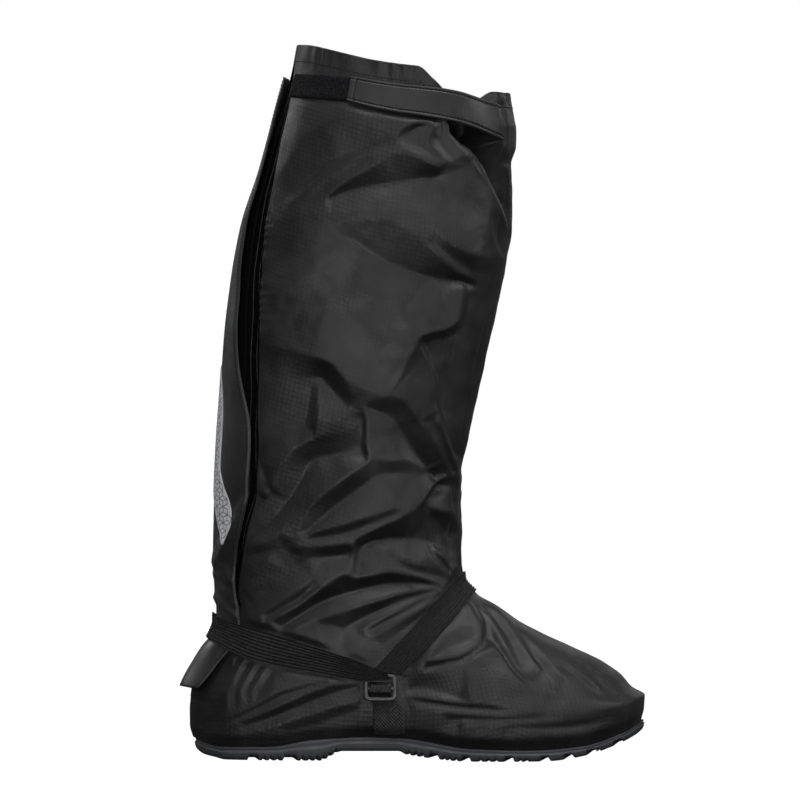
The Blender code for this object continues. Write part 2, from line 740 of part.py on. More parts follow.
def main():
    for old in list(bpy.data.objects):
        bpy.data.objects.remove(old)
    boot = bpy.data.collections.new("rain_overboot")
    cutters = bpy.data.collections.new("cutters")
    bpy.context.scene.collection.children.link(boot)
    bpy.context.scene.collection.children.link(cutters)
    fabric = material("coated_ripstop", FABRIC_BLACK, 0.42)
    trim = material("woven_trim", TRIM_BLACK, 0.8)
    rubber = material("sole_rubber", RUBBER_GREY, 0.6)
    plastic = material("buckle_plastic", BUCKLE_GREY, 0.35)
    reflective = material("reflective_film", REFLECTIVE_GREY, 0.45)
    make_outsole(rubber, boot, cutters)
    make_upper(fabric, boot)
    make_rear_zip(trim, boot)
    make_rear_flap(fabric, boot)
    make_reflective_strip(reflective, boot)
    make_loop_patch(trim, boot)
    make_cuff_strap(fabric, boot)
    make_ankle_elastic(trim, boot)
    make_instep_elastic(trim, boot)
    make_buckle(plastic, boot)
    make_web_tab("web_tab_outer", OUTER_TAB_ROWS, trim, boot)
    make_web_tab("web_tab_inner", INNER_TAB_ROWS, trim, boot)


main()
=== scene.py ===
"""Finish of the rain overshoe: creased coated fabric, ribbed elastic, stitched trim and a slotted sole.

Everything on the upper is placed by an angle round its section (0 is the back, 90 the outer side and
180 the toe) and a height, as in the part's source. Tables are in millimetres and degrees, and the fold
lines are in pixels of the photo. The scene is in metres.
"""

from collections import namedtuple

import bmesh
import bpy
import numpy as np
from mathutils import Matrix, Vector, noise
from mathutils.geometry import delaunay_2d_cdt


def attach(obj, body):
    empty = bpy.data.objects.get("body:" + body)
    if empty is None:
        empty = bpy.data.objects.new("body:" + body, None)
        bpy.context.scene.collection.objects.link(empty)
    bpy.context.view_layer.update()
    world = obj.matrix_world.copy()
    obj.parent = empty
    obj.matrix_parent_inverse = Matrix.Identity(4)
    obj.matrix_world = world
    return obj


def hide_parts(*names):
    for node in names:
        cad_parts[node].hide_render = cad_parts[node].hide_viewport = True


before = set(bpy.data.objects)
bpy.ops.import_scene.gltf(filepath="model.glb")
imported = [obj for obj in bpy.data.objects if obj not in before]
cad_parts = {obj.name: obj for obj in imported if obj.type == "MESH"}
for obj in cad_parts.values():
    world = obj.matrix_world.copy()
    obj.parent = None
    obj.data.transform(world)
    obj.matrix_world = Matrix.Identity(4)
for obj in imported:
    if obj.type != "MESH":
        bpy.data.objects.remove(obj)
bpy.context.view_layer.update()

MM = 0.001


def rows_of(kind, values):
    """Named rows from plain ones."""
    return [kind(*value) for value in values]


# Thicknesses and gaps
WALL = 1.2 * MM
GAP = 0.3 * MM
SEAM_GAP = 0.6 * MM
TAPE = 0.8 * MM
FLAP = 1.2 * MM
FILM = 0.4 * MM
LOOP_PILE = 1.4 * MM
CUFF = 1.6 * MM
ELASTIC = 1.4 * MM
WEB = 1.2 * MM

# The upper's sections and main heights
JOINT = 12 * MM
COLLAR = 460 * MM
SEAM_REACH = 62 * MM
COLLAR_REACH = 380 * MM
HEEL_STATION = 0.15
WAIST_STATION = 0.45
BALL_STATION = 0.74
TOE_FULLNESS = 2.45
SLOPE_ANGLE = 2.0  # the surface's directions are measured over these steps to each side
SLOPE_HEIGHT = 3 * MM
SETTLE_ROUNDS = 12

Section = namedtuple("Section", "height back front heel waist ball arch skew fullness")
UPPER_SECTIONS = rows_of(Section, [
    (12, -29.0, 271.5, 34.5, 37.5, 50.5, 6.0, 9.0, 3.0),
    (20, -31.0, 274.0, 37.0, 42.0, 54.0, 5.0, 9.0, 3.0),
    (32, -31.0, 274.5, 37.5, 43.0, 53.5, 4.0, 9.0, 3.0),
    (44, -30.0, 265.5, 37.0, 43.0, 50.5, 3.0, 9.0, 3.0),
    (54, -27.5, 258.5, 36.0, 42.5, 47.0, 2.0, 8.5, 2.9),
    (63, -24.5, 246.5, 35.0, 42.0, 43.5, 1.0, 7.5, 2.8),
    (73, -20.0, 227.0, 34.5, 41.5, 41.0, 0.0, 6.0, 2.7),
    (82, -14.5, 207.0, 34.0, 41.0, 39.0, 0.0, 5.0, 2.6),
    (91, -11.5, 189.5, 33.5, 41.0, 38.0, 0.0, 4.0, 2.5),
    (101, -11.5, 174.5, 33.0, 41.0, 37.5, 0.0, 3.0, 2.4),
    (110, -12.5, 161.0, 33.0, 41.5, 37.5, 0.0, 2.0, 2.4),
    (120, -13.0, 152.5, 33.0, 42.0, 38.0, 0.0, 1.0, 2.3),
    (136, -13.5, 151.5, 34.0, 43.0, 39.0, 0.0, 0.0, 2.3),
    (158, -13.0, 150.5, 35.5, 45.0, 41.0, 0.0, 0.0, 2.3),
    (184, -12.3, 149.3, 37.5, 48.0, 44.0, 0.0, 0.0, 2.3),
    (214, -10.8, 156.0, 40.0, 51.0, 46.5, 0.0, 0.0, 2.3),
    (248, -8.3, 162.5, 42.0, 54.0, 49.0, 0.0, 0.0, 2.3),
    (284, -5.5, 171.5, 44.5, 57.0, 52.0, 0.0, 0.0, 2.3),
    (318, -1.0, 178.0, 46.0, 59.0, 54.0, 0.0, 0.0, 2.3),
    (350, 5.0, 183.5, 47.0, 60.5, 55.5, 0.0, 0.0, 2.3),
    (376, 12.5, 184.5, 47.5, 61.0, 56.0, 0.0, 0.0, 2.3),
    (398, 20.5, 184.5, 47.5, 61.0, 56.0, 0.0, 0.0, 2.3),
    (416, 27.0, 187.5, 47.5, 60.5, 55.5, 0.0, 0.0, 2.3),
    (432, 33.5, 187.5, 47.0, 60.0, 55.0, 0.0, 0.0, 2.3),
    (446, 38.0, 185.5, 47.0, 59.5, 54.5, 0.0, 0.0, 2.3),
    (460, 41.0, 182.5, 46.5, 59.0, 54.0, 0.0, 0.0, 2.3),
])
SOLE_SECTION = Section(0, -27.5, 274.0, 35.5, 39.0, 53.0, 6.0, 9.0, 3.0)

CollarRow = namedtuple("CollarRow", "angle rise")
COLLAR_RISE = rows_of(CollarRow, [
    (0, 16.0), (30, 13.2), (45, 10.0), (60, 5.8), (75, 1.8), (90, -1.0), (98, -2.0), (106, -8.5),
    (120, -14.0), (135, -16.5), (150, -17.5), (180, -17.0),
])
PleatRow = namedtuple("PleatRow", "height middle half depth")
PLEAT_ROWS = rows_of(PleatRow, [
    (344, 177, 3, 0), (354, 172, 5, 4), (366, 165, 11, 16), (376, 158, 12, 26), (386, 153, 13, 33),
    (397, 148, 13.5, 38), (408, 142.5, 14.5, 41), (420, 136, 16, 42), (430, 133, 19, 42),
    (444, 133, 20, 28), (460, 133, 20, 10),
])
PLEAT_AIM = 0.64  # place along a section, from back to front, that the pleat is drawn towards
PLEAT_DROP = 0.3  # share of the pleat's half width over which it falls from its rear edge
POCKET_DEPTH = 30  # the pleat falls in further behind the cuff strap, above a brink that rises to the front
POCKET_BRINK = (406, 421.5)
POCKET_TOP = 446
POCKET_EASE = 6
POCKET_EDGE = 0.2  # share of the pleat's half width over which the pocket falls in from its edges
PLEAT_CALM = 0.3  # share of the pleat's half width over which its folds fade out from its edges
PLEAT_CALM_HEIGHT = 20
PLEAT_COLLAR_DIP = 13 * MM
PLEAT_DIP_ANGLE = 125
PLEAT_DIP_HALF = 24

# The sole's top edge, underside and side rings
SoleRow = namedtuple("SoleRow", "along height")
SOLE_TOP = rows_of(SoleRow, [
    (-28, 13.5), (-8, 8.8), (24, 9.4), (52, 13.7), (90, 15.8), (112, 15.0), (157, 8.4), (200, 7.4),
    (230, 9.4), (259, 17.8), (274, 25.0),
])
SOLE_UNDERSIDE = rows_of(SoleRow, [
    (-28, 6.5), (-21, 3.0), (-13, 1.4), (-6, 0.0), (56, 0.0), (72, 6.4), (109, 6.4), (114, 4.2),
    (155, 0.0), (206, 0.0), (232, 3.0), (252.5, 9.0), (267, 15.0), (274, 19.0),
])
SideRing = namedtuple("SideRing", "share inset")
SOLE_SIDE = rows_of(SideRing, [
    (0.0, 3.0), (0.06, 1.6), (0.14, 0.9), (0.34, 0.3), (0.60, 0.0), (0.66, 0.7), (0.72, 0.9),
    (0.86, 0.6), (0.96, 0.7), (1.0, 1.6),
])
SOLE_SPANS = 520
SOLE_RINGS = 20
TREAD_SPANS = 36

# Wedges between the main lugs, and the fine slots cut across the lugs
Groove = namedtuple("Groove", "along width slant")
GROOVES = rows_of(Groove, [
    (14, 6.5, 8),
    (38, 8.5, 8),
    (132, 6.5, -10),
    (154, 6.0, -10),
    (183, 6.0, -10),
    (206, 6.0, -10),
    (221, 6.0, -11),
    (235, 6.0, -12),
    (250, 5.0, -14),
])
SLOTS = [
    21, 25.5, 30, 46, 51, 55.5, 60, 64, 68, 115, 119.5, 124, 139, 142.5, 147, 163.5, 169, 174, 190, 194, 240,
]
GROOVE_DEPTH = 2.6 * MM
SLOT_DEPTH = 1.7 * MM
SLOT_WIDTH = 1.5
SPINE_HALF = 7
RIM_HALF = 42
SLOT_TOP = 0.42
SLOT_START = 16  # distance from the sole's middle where the slots begin
SLOT_START_EASE = 2
SLOT_SLANT = 9
SLOT_TURN = 90  # place along the foot where the slots' slant turns over
SPINE_EASE = 1.0
GROOVE_EASE = 0.9
SLOT_EASE = 0.6
BED_SPANS = 4
WELD = 0.005 * MM
SHARP_ANGLE = 50

# The rear slit, its zip and the storm flap
SLIT_FOOT = 101 * MM
SLIT_ANGLE = 10
SLIT_TOP_SHARE = 0.15  # the slit's width at the collar, against its width below
SLIT_NARROWS = 430 * MM  # height above which the slit narrows
SLIT_STEPS = 200
BINDING_ACROSS = 0.7 * MM
BINDING_OUT = 0.9 * MM
ZIP_TOP = 459 * MM
ZIP_FOOT = 1 * MM  # the tape starts this far above the slit's foot
ZIP_STEPS = 140
ZIP_COLUMNS = 15
ZIP_MARGIN = 3.5  # angle that the tape reaches beyond the slit
TEETH_FOOT = 3 * MM
TEETH_STOP = 20 * MM  # the teeth end this far below the tape's top
TOOTH_PITCH = 1.4 * MM
TOOTH_REACH = 1.6  # angle from a tooth's middle to its ends
TOOTH_CROWN = 3.0  # angle over which a tooth falls away from its middle
TOOTH_RISE = 0.3 * MM
TOOTH_ACROSS = 0.45 * MM
TOOTH_OUT = 0.4 * MM
TEETH_PLACE = 0.4  # place of the teeth across the slit, as a share of its angle
ZIP_CORD = 0.28 * MM
ZIP_CORD_STEPS = 240
ZIP_CORD_LIFT = 0.4 * MM
ZIP_CORD_ANGLES = (-2.2, 2.2)
ZIP_CORD_WAVE = 0.7
ZIP_CORD_WAVE_LENGTH = 9.0
ZipRow = namedtuple("ZipRow", "height edge")
ZIP_PATH = rows_of(ZipRow, [
    (90, 34), (105, 34), (130, 38.5), (150, 42), (180, 48.5), (206, 48), (230, 45.5), (268, 43),
    (308, 38.5), (334, 36), (362, 32), (388, 28.5), (415, 23), (431, 19), (446, 11), (460, 3),
])
FlapRow = namedtuple("FlapRow", "height outer_edge inner_edge middle_lift outer_lift")
FLAP_ROWS = rows_of(FlapRow, [
    (440, 13, -38, 0.7, 4.2),
    (420, 15, -40, 0.7, 4.2),
    (398, 17, -42, 0.7, 4.0),
    (370, 20, -43, 1.1, 4.2),
    (339, 23, -44, 1.4, 4.2),
    (306, 26, -45, 1.2, 4.0),
    (274, 30, -45, 0.9, 3.6),
    (245, 37, -45, 0.8, 3.4),
    (217, 44, -45, 0.8, 3.2),
    (196, 45, -44, 0.8, 3.0),
    (176, 45, -43, 0.8, 2.6),
    (157, 41, -41, 0.8, 2.0),
    (138, 36, -38, 0.7, 1.4),
    (120, 34, -36, 0.6, 0.8),
    (101, 33, -34, 0.5, 0.5),
    (82, 32, -33, 0.5, 0.5),
    (73, 31, -32, 2.0, 0.9),
    (63, 27, -32, 3.6, 3.0),
    (54, 24, -31, 5.6, 5.2),
    (46, 21, -30, 7.0, 7.0),
])
FLAP_STEPS = 240
FLAP_COLUMNS = 49
FLAP_EDGE = 0.05
FLAP_STITCH_INSETS = {"outer_edge": -2.0, "inner_edge": 2.0}
FlapWave = namedtuple("FlapWave", "length shift rise")
FLAP_WAVES = rows_of(FlapWave, [(13.0, 0.0, 0.5), (5.7, 1.0, 0.25)])
FlapCrease = namedtuple("FlapCrease", "start end rise half")
FLAP_CREASES = rows_of(FlapCrease, [
    ((9, 172), (-11, 131), 2.4, 6.0),
    ((-9, 131), (-3, 119), 1.8, 4.0),
    ((-14, 123), (-4, 121), 0.8, 4.5),
    ((-12, 107), (1, 96), 1.8, 4.0),
    ((-5, 113), (1, 103), 1.5, 3.0),
])
StripRow = namedtuple("StripRow", "height outer_edge inner_edge")
STRIP_ROWS = rows_of(StripRow, [
    (262, 7, -8), (245, 16, -16), (217, 20, -20), (196, 20, -20), (184, 25, -8), (170, 32, 10),
    (157, 34, 17), (149, 31, 22), (143, 28, 25),
])
STRIP_STEPS = 100
STRIP_COLUMNS = 33
FILM_GAP = 0.1 * MM
LOZENGE_SIDE = 3.6
LOZENGE_LINE = 0.3 * MM
LOZENGE_DOT = 0.5 * MM
LOZENGE_DOT_HALF = 0.4
LOZENGE_RISE = 0.1 * MM
LOZENGE_REACH = 4  # columns of lozenges on each side of the flap's middle
LOZENGE_STEPS = 5
DEGREES_PER_MM = 1.35  # turn round the flap's back for a millimetre along it

# Cuff strap, loop patch, elastic bands, buckle and web tabs
CUFF_LIFT = LOOP_PILE + 2 * GAP
CUFF_SEAM = 0.78  # place of the seams across the strap, from its middle to its edge
CUFF_SEAM_HALF = 0.09
CUFF_SEAM_DEPTH = 0.3  # share of the strap's thickness
CUFF_END_SEAM_ANGLE = 3
CUFF_END_SEAM_HALF = 0.6
CUFF_FRONT_DROP = 0.8  # share of its lift that the strap loses towards its front seam
CUFF_FRONT_ANGLE = 6
CUFF_FRONT_SEAM = 139.5
CUFF_FRONT_SLANT = 6
CUFF_EDGE = 0.08
CUFF_UNEVEN = 0.5 * MM
CUFF_STITCH_LIFT = 0.75  # share of the strap's thickness
CUFF_STEPS = 260
CUFF_COLUMNS = 65
CUFF_STITCH_STEPS = 200
CUFF_END_STITCH_STEPS = 20
PATCH_STEPS = 80
PATCH_COLUMNS = 13
PATCH_EDGE = 0.1
BandRow = namedtuple("BandRow", "angle low high")
CUFF_BAND = rows_of(BandRow, [
    (63, 435.5, 451.8), (69, 433.3, 450.6), (79, 430.2, 448.4), (89, 427.6, 446.7), (99, 425.8, 445.4),
    (109, 423.6, 444.1), (120, 420.8, 442.0), (132, 416.6, 438.2), (138, 414.2, 436.4),
    (150, 410.6, 434.2),
])
PATCH_BAND = rows_of(BandRow, [
    (20, 440.1, 455.4), (38, 438.3, 454.0), (52, 436.6, 452.5), (63, 435.4, 450.8), (76, 433.6, 449.0),
])
ANKLE_BAND = rows_of(BandRow, [
    (0, 80.0, 97.0), (26, 74.0, 91.5), (51, 63.0, 83.5), (65, 58.0, 76.0), (72, 55.0, 71.5),
    (78, 52.5, 66.5), (82, 53.0, 61.5), (85, 53.5, 57.5),
])
# The instep band runs straight from beside the buckle to the overshoe's front, seen from the side
BandEdge = namedtuple("BandEdge", "along height front_height")
INSTEP_LOW = BandEdge(111, 57, 111)
INSTEP_HIGH = BandEdge(91, 59, 124)
FLAP_REACH_ANGLE = 42
FLAP_STEP_ANGLE = 10
OVER_FLAP = FLAP + 5 * GAP
OVER_INSTEP = ELASTIC + 2 * GAP
OVER_BUCKLE = 6.2 * MM
INSTEP_CLIMB_ANGLE = 62
BUCKLE_CLIMB_ANGLE = 70
CLIMB_REACH = 12
RIBS = 9
RIB_STEPS = 6
RIB_MEAN = 0.72
RIB_DEPTH = 0.28
BAND_ACROSS = np.linspace(-1, 1, RIBS * RIB_STEPS + 1)[:, None]
ANKLE_STEPS = 220
INSTEP_STEPS = 130
BUCKLE_ANGLE = 82.2
BUCKLE_HEIGHT = 48 * MM
BUCKLE_WIDTH = 21.5 * MM
BUCKLE_TALL = 18 * MM
BUCKLE_BAR = 2.6 * MM
BUCKLE_DEPTH = 2.2 * MM
BUCKLE_LIFT = 3.0 * MM
BUCKLE_MIDDLE = -0.8 * MM
BUCKLE_MIDDLE_HALF = BUCKLE_DEPTH / 2.6
BUCKLE_CORNER = 0.28  # power that squares off the rim
BUCKLE_SQUARENESS = 3.0
BUCKLE_STEPS = 96
BUCKLE_BAR_STEPS = 12
TAB_STEPS = 70
TAB_COLUMNS = 17
TabRow = namedtuple("TabRow", "height lift angle half_angle")
OUTER_TAB_ROWS = rows_of(TabRow, [
    (14.0, 0.5, 82.9, 4.0),
    (20.0, 0.5, 82.9, 4.0),
    (32.0, 0.5, 82.8, 4.0),
    (37.0, 0.5, 82.5, 3.6),
    (41.3, 0.6, 81.7, 2.8),
    (45.3, 5.8, 81.9, 2.8),
    (49.0, 5.8, 82.3, 2.8),
    (51.8, 2.8, 82.5, 2.8),
])
INNER_TAB_ROWS = rows_of(TabRow, [
    (14.0, 1.3, -82.9, 4.0),
    (20.0, 1.3, -82.9, 4.0),
    (32.0, 1.3, -82.9, 4.0),
    (44.0, 1.4, -82.9, 4.0),
    (51.0, 4.4, -83.2, 4.0),
    (60.0, 4.4, -84.0, 4.2),
    (68.0, 4.4, -85.0, 4.4),
])

# What holds the fabric flat: how far this reaches beyond each piece, and over what it eases off
BAND_EASE = 6.0
INSTEP_END_REACH = 8
CUFF_EASE = 5.0
CUFF_REACH_ANGLE = 3
FLAP_EASE = 6.0
FLAP_SEWN_REACH = 3
FLAP_FREE_REACH = 1
FLAP_HOLD_FOOT = 40
TAB_EASE = 2.5
TAB_REACH = 4.5
TAB_HOLD_TOP = 56

# Fold lines of the outer side, placed over the photo: pixels across and down, and how far each
# point stands out (or in, below zero) in millimetres. The fabric lies flat between neighbouring lines
MM_PER_PIXEL = 0.67
ORIGIN_PIXEL = (236, 756.5)
FOLDS = [
    # Edges that stay where they are
    [(291, 98, 0), (277, 156, 0), (266, 219, 0), (259, 280, 0), (256, 347, 0), (261, 436, 0),
     (260, 475, 0), (245, 522, 0), (240, 570, 0), (238, 622, 0)],
    [(514, 120, 0), (512, 150, 0), (511, 200, 0), (511, 232, 0), (506, 266, 0), (495, 305, 0),
     (484, 352, 0), (472, 400, 0), (465, 440, 0), (460, 495, 0), (461, 545, 0), (459, 575, 0)],
    [(464, 582, 0), (500, 606, 0), (545, 632, 0), (600, 659, 0), (622, 672, 0), (640, 700, 0)],
    [(204, 742, 0), (250, 741, 0), (300, 739, 0), (345, 735, 0), (404, 734, 0), (440, 740, 0),
     (490, 745, 0), (540, 745, 0), (590, 740, 0), (620, 733, 0), (641, 722, 0)],
    # Upper shaft
    [(505.5, 100, 0.8), (506, 122, 1.2), (506, 142, 1.2), (507, 166, 0.8)],
    [(502.5, 104, -1), (503, 122, -1), (503, 142, -1), (504, 162, -0.6)],
    [(509, 100, 0), (510, 122, 0), (510, 142, 0), (510, 166, 0)],
    [(284, 170, 1), (298, 147, 2), (312, 132, 3), (330, 123, 3.5), (350, 119, 3.5), (368, 123, 3),
     (384, 131, 3.5), (396, 138, 5.5)],
    [(283, 200, -0.5), (296, 188, -1.2), (311, 175, -1.8), (330, 162, -2), (352, 153, -1.8),
     (372, 147, 0), (386, 142, 2.5)],
    [(288, 206, 0.8), (303, 194, 1.4), (318, 181, 2), (336, 170, 2.2), (355, 160, 2.4), (375, 152, 3),
     (389, 146, 4)],
    [(310, 199, 0.5), (322, 188, 1), (336, 178, 1.5), (352, 169, 1.5), (368, 160, 2.5)],
    [(325, 200, 1), (336, 189, 2.5), (352, 178, 4), (370, 167, 4.5), (386, 157, 5), (399, 145, 5.5)],
    [(396, 138, 5.5), (399, 145, 5.5), (408, 152.5, 5.5), (420, 158, 5.2), (431, 164, 4.4),
     (439, 168.5, 3.2)],
    [(330, 199, -1.5), (345, 192, -2.5), (362, 188.5, -3), (382, 185, -3.5), (402, 182, -3.5),
     (420, 179, -3), (436, 177, -1.5)],
    [(396, 138, 5.5), (401, 130, 5.5), (409, 124.5, 5.2), (420, 121, 4.8), (431, 120, 4)],
    [(402, 136, 3), (411, 131, 1.4), (421, 127, 1), (429, 125, 1.2)],
    [(404, 141, 3.2), (415, 145, 2.6), (426, 149, 2.4), (437, 157, 2.2)],
    [(434, 121, 3.6), (431, 129, 3.6), (428, 137, 3), (428, 143, 2.8), (436, 152, 3), (446, 162, 2.8)],
    [(443, 121, -1.2), (442, 132, -1.2), (441, 141, -0.9), (446, 151, -0.2), (451, 158, 1.4)],
    [(447, 124, 1), (455, 136, 2.6), (461, 147, 3.8), (461, 153, 3.8), (455, 158, 3.4), (446, 162, 2.8)],
    [(448, 121, 1.5), (455, 131, 3), (463, 141, 4), (470, 152, 5), (477, 165, 5), (483, 178, 5),
     (489, 189, 5), (496, 203, 4.5), (503, 218, 3), (509, 231, 1)],
    [(455, 158, 3), (470, 170, 3.5), (482, 185, 4), (487, 205, 4), (486, 222, 4), (489, 238, 3.5),
     (496, 252, 2.5), (504, 266, 1)],
    [(492, 205, 3.5), (492, 222, 1), (495, 238, 0.5), (501, 252, 0)],
    [(276, 222, 0.5), (300, 216, 1.5), (330, 214, 2), (360, 213, 2), (395, 212, 2), (418, 208, 1.5),
     (432, 206, 1), (448, 203, 1.5), (470, 200, 2.5)],
    [(421, 212, 2), (429, 223, 3.5), (441, 236, 5), (455, 248, 6), (472, 255, 6), (485, 256, 5)],
    [(352, 220, 1.5), (372, 219, 2), (392, 221, 2.5), (408, 228, 3), (424, 241, 3), (440, 257, 3),
     (456, 271, 3), (471, 280, 2.5)],
    [(432, 243, 2), (452, 258, 2), (470, 270, 2), (484, 274, 2)],
    [(342, 236, -1), (360, 245, -2.5), (372, 254, -4), (392, 264, -4.5), (412, 272, -4.5),
     (432, 278, -4.5), (452, 281, -4), (469, 284, -2)],
    [(362, 262, -1), (378, 280, -1), (391, 300, 1), (404, 323, 4), (417, 340, 6)],
    [(417, 340, 6), (425, 333.5, 7), (438, 330.5, 7), (448, 327, 7), (456, 319, 6.5), (459, 303, 5),
     (461, 285, 2.5)],
    [(445, 286, -2.5), (448, 299, 1), (452, 314, 5)],
    [(423, 341, 0.5), (432, 338, 0.5), (446, 335, 0.5), (460, 326, 0.5), (466, 305, 1), (468, 288, 1)],
    [(476, 284, 1.5), (478, 305, -0.5), (477, 330, -0.5)],
    [(466, 338, 0.5), (469, 358, 1.8), (470, 380, 1.8), (469, 398, 0.5)],
    [(264, 300, 0.5), (278, 293, 1.4), (292, 284, 1.2), (304, 276, 0.6)],
    [(266, 262, -0.5), (290, 258, -0.5), (318, 250, -0.5)],
    [(262, 312, -1), (276, 312, -1.2), (290, 305, -1.5), (310, 304, -2), (330, 307, -2), (350, 316, -1.5),
     (366, 332, 0)],
    [(291, 309, -2), (292, 320, -1.5), (296, 332, 0), (298, 341, 1.5)],
    [(264, 345, 1.5), (282, 347.5, 2.8), (300, 351, 4), (318, 356, 5.5), (332, 363, 6), (342, 374, 5.5),
     (349, 386, 4), (352, 398, 2)],
    # Lower shaft
    [(266, 374, 0.5), (290, 377, 0.3), (306, 377, -1), (319, 378, -2.5), (329, 387, -3), (338, 397, -2.5),
     (346, 406, -1)],
    [(319, 380, -2), (318.5, 392, 0.5), (318, 406, 2), (318, 418, 3)],
    [(312, 380, -1.5), (310, 395, -2), (309, 410, -2), (306, 424, -1.5)],
    [(318, 418, 3), (332, 420, 3), (344, 415, 2), (352, 407, 0.5)],
    [(360, 413, 0.5), (365, 405, 2), (376, 398.5, 3), (390, 395.5, 3.5), (401, 400, 4), (413, 413, 4),
     (425, 431, 4), (437, 452, 4), (447, 472, 3.5), (453, 487, 2)],
    [(372, 408, 0), (386, 413, -1), (397, 424, -2), (408, 441, -3), (420, 460, -3), (431, 474, -2.5),
     (441, 487, -2)],
    [(419, 343, 5), (425, 357, 4), (431, 375, 3.5), (435, 393, 3.5), (436, 410, 4), (439, 425, 5),
     (445, 443, 5), (451, 462, 5), (456, 480, 4.5), (459, 492, 2)],
    [(424, 345, -0.5), (430, 358, -0.5), (437, 378, -0.5), (441, 400, -0.5), (442, 415, 0),
     (446, 430, 0.5), (452, 450, 0.5)],
    [(433, 420, 2.5), (439, 434, 2.3), (446, 454, 2.3), (452, 472, 2.2)],
    [(366, 412, 2.5), (367.5, 430, 2.5), (366.5, 445, 2.5), (369, 459, 3.5)],
    [(361, 416, -0.5), (362, 430, -1), (361, 443, -1), (364, 453, -1)],
    [(354, 428, 1), (336, 432, 1.5), (316, 437, 2.5), (299, 446, 2.5), (285, 461, 2.5), (275, 478, 2),
     (268, 496, 1)],
    [(364, 455, -1), (345, 454, -2.5), (325, 456, -3.5), (311, 461, -3.5), (303, 474, -3),
     (295, 488, -2.5), (285, 503, -2), (275, 516, -1.5), (262, 530, -1.5), (248, 538, -1)],
    [(262, 470, -1), (270, 486, -0.5), (264, 505, -0.5), (256, 522, -0.5)],
    [(369, 460, 3.5), (352, 472, 5), (334, 485, 5), (318, 499, 4.5), (306, 514, 3.5), (298, 528, 3),
     (294, 540, 2.5)],
    [(377, 474, 0.8), (361, 486, 0.5), (345, 499, 0), (329, 512, 0), (315, 525, 0.5), (306, 533, 1)],
    [(374, 459, 2.5), (395, 459, 2.5), (415, 462, 1), (428, 470, -0.5)],
    [(380, 474, 0), (400, 473, 0), (420, 475, 0.5), (432, 480, 2)],
    [(294, 540, 2.5), (310, 533, 4), (330, 526, 5), (352, 520, 5.5), (372, 514, 5.5), (388, 508, 5.5),
     (400, 504, 5)],
    [(312, 537, 2), (335, 533.5, 2.5), (358, 527, 3), (380, 519, 4), (392, 515, 4.5)],
    [(355, 541, 4), (367, 534, 5), (384, 525.5, 5.5), (402, 516, 6), (416, 506, 6), (426, 495, 6),
     (433, 485, 5), (437, 480, 3)],
    [(294, 540, 2.5), (299, 545.5, 3.5), (315, 546, 3.5), (335, 544.5, 4), (355, 541, 4)],
    [(303, 556, 0.8), (320, 557, 0.5), (342, 555, 0.3), (350, 553, 0.8)],
    [(358, 548, -2.5), (364, 543, -3.5), (378, 540, -5), (395, 538.5, -5), (412, 538, -5), (428, 541, -5),
     (438, 548, -4)],
    [(355, 541, 4), (354, 550, 3.5), (354, 562, 3), (355, 575, 2.5)],
    [(358, 552, -2), (358, 564, -0.5), (359, 574, 2.5)],
    [(356, 578, 3.5), (372, 575, 5), (390, 572, 5.5), (405, 573, 5), (420, 578, 4), (436, 583, 3),
     (448, 583, 2)],
    [(386, 550, 0), (394, 560, 1), (406, 568.5, 1.5), (422, 573, 1.5), (440, 575, 1)],
    [(392, 549, 0), (402, 558, 2.5), (416, 564, 3), (432, 568, 2.5), (446, 576, 2)],
    [(434, 485, -1), (429, 493, -1.5), (427, 503, -1.5), (430, 514, -2), (440, 520, -4), (448, 530, -5),
     (451, 546, -5), (453, 562, -3)],
    [(440, 490, 1.5), (448, 500, 2), (452, 510, 2.5)],
    [(432, 507, 2), (440, 511, 3.5), (449, 513, 3.5), (456, 521, 2)],
    [(436, 549, 1), (443, 558, 1.5), (449, 567, 1.5), (454, 576, 1)],
    [(430, 555, 1), (437, 564, 2), (446, 572, 2), (452, 579, 1)],
    [(433, 553, -1), (440, 561, -1), (448, 571, -1)],
    [(436, 587, 1), (415, 583, -0.5), (390, 583, -1.2), (368, 588, -1.8), (345, 594, -2), (322, 602, -2),
     (302, 613, -1.5), (284, 626, -1)],
    [(447, 586, 2), (425, 590, 3), (400, 594.5, 3.5), (375, 601, 4), (350, 608, 4), (325, 616, 3.5),
     (300, 624, 2.5), (280, 634, 1)],
    [(440, 589.5, 1), (425, 594, 0), (405, 600, -1), (385, 608, -1.5), (365, 617, -2), (345, 628, -1.5)],
    [(447, 588.5, 2.5), (430, 595.5, 2.5), (412, 603, 2.5), (395, 611, 2.5), (380, 619, 2),
     (364, 630, 1.5)],
    [(440, 595, 1), (424, 602, 0), (408, 610, -0.5), (392, 618.5, -0.5), (374, 630, -0.5)],
    [(450, 589, 2.5), (434, 600, 3), (416, 610, 3), (398, 619, 2.5), (382, 630, 2), (366, 640, 1)],
    [(440, 606, 0), (422, 618, -0.5), (404, 630, -0.5), (384, 643, 0)],
    [(256, 628, 1.5), (278, 616.5, 3), (298, 606, 3.5), (315, 594, 4), (330, 582, 4.5), (346, 571, 4)],
    [(268, 616, 0), (284, 607, 0.5), (298, 598, 1), (312, 587, 1.5)],
    [(250, 624, 1), (266, 611, 2), (284, 600, 2.5), (300, 589, 3), (314, 577, 2.5)],
    [(246, 612, 0), (262, 596, -0.5), (280, 580, -0.5), (298, 566, -0.5)],
    [(250, 546, 0.5), (262, 543, 1.5), (276, 534, 1.8), (288, 520, 1.5)],
    [(246, 556, -0.5), (264, 554, -1), (284, 548, -1)],
    [(247, 590, 1), (255, 572, 1.5), (268, 560, 1)],
    # Foot
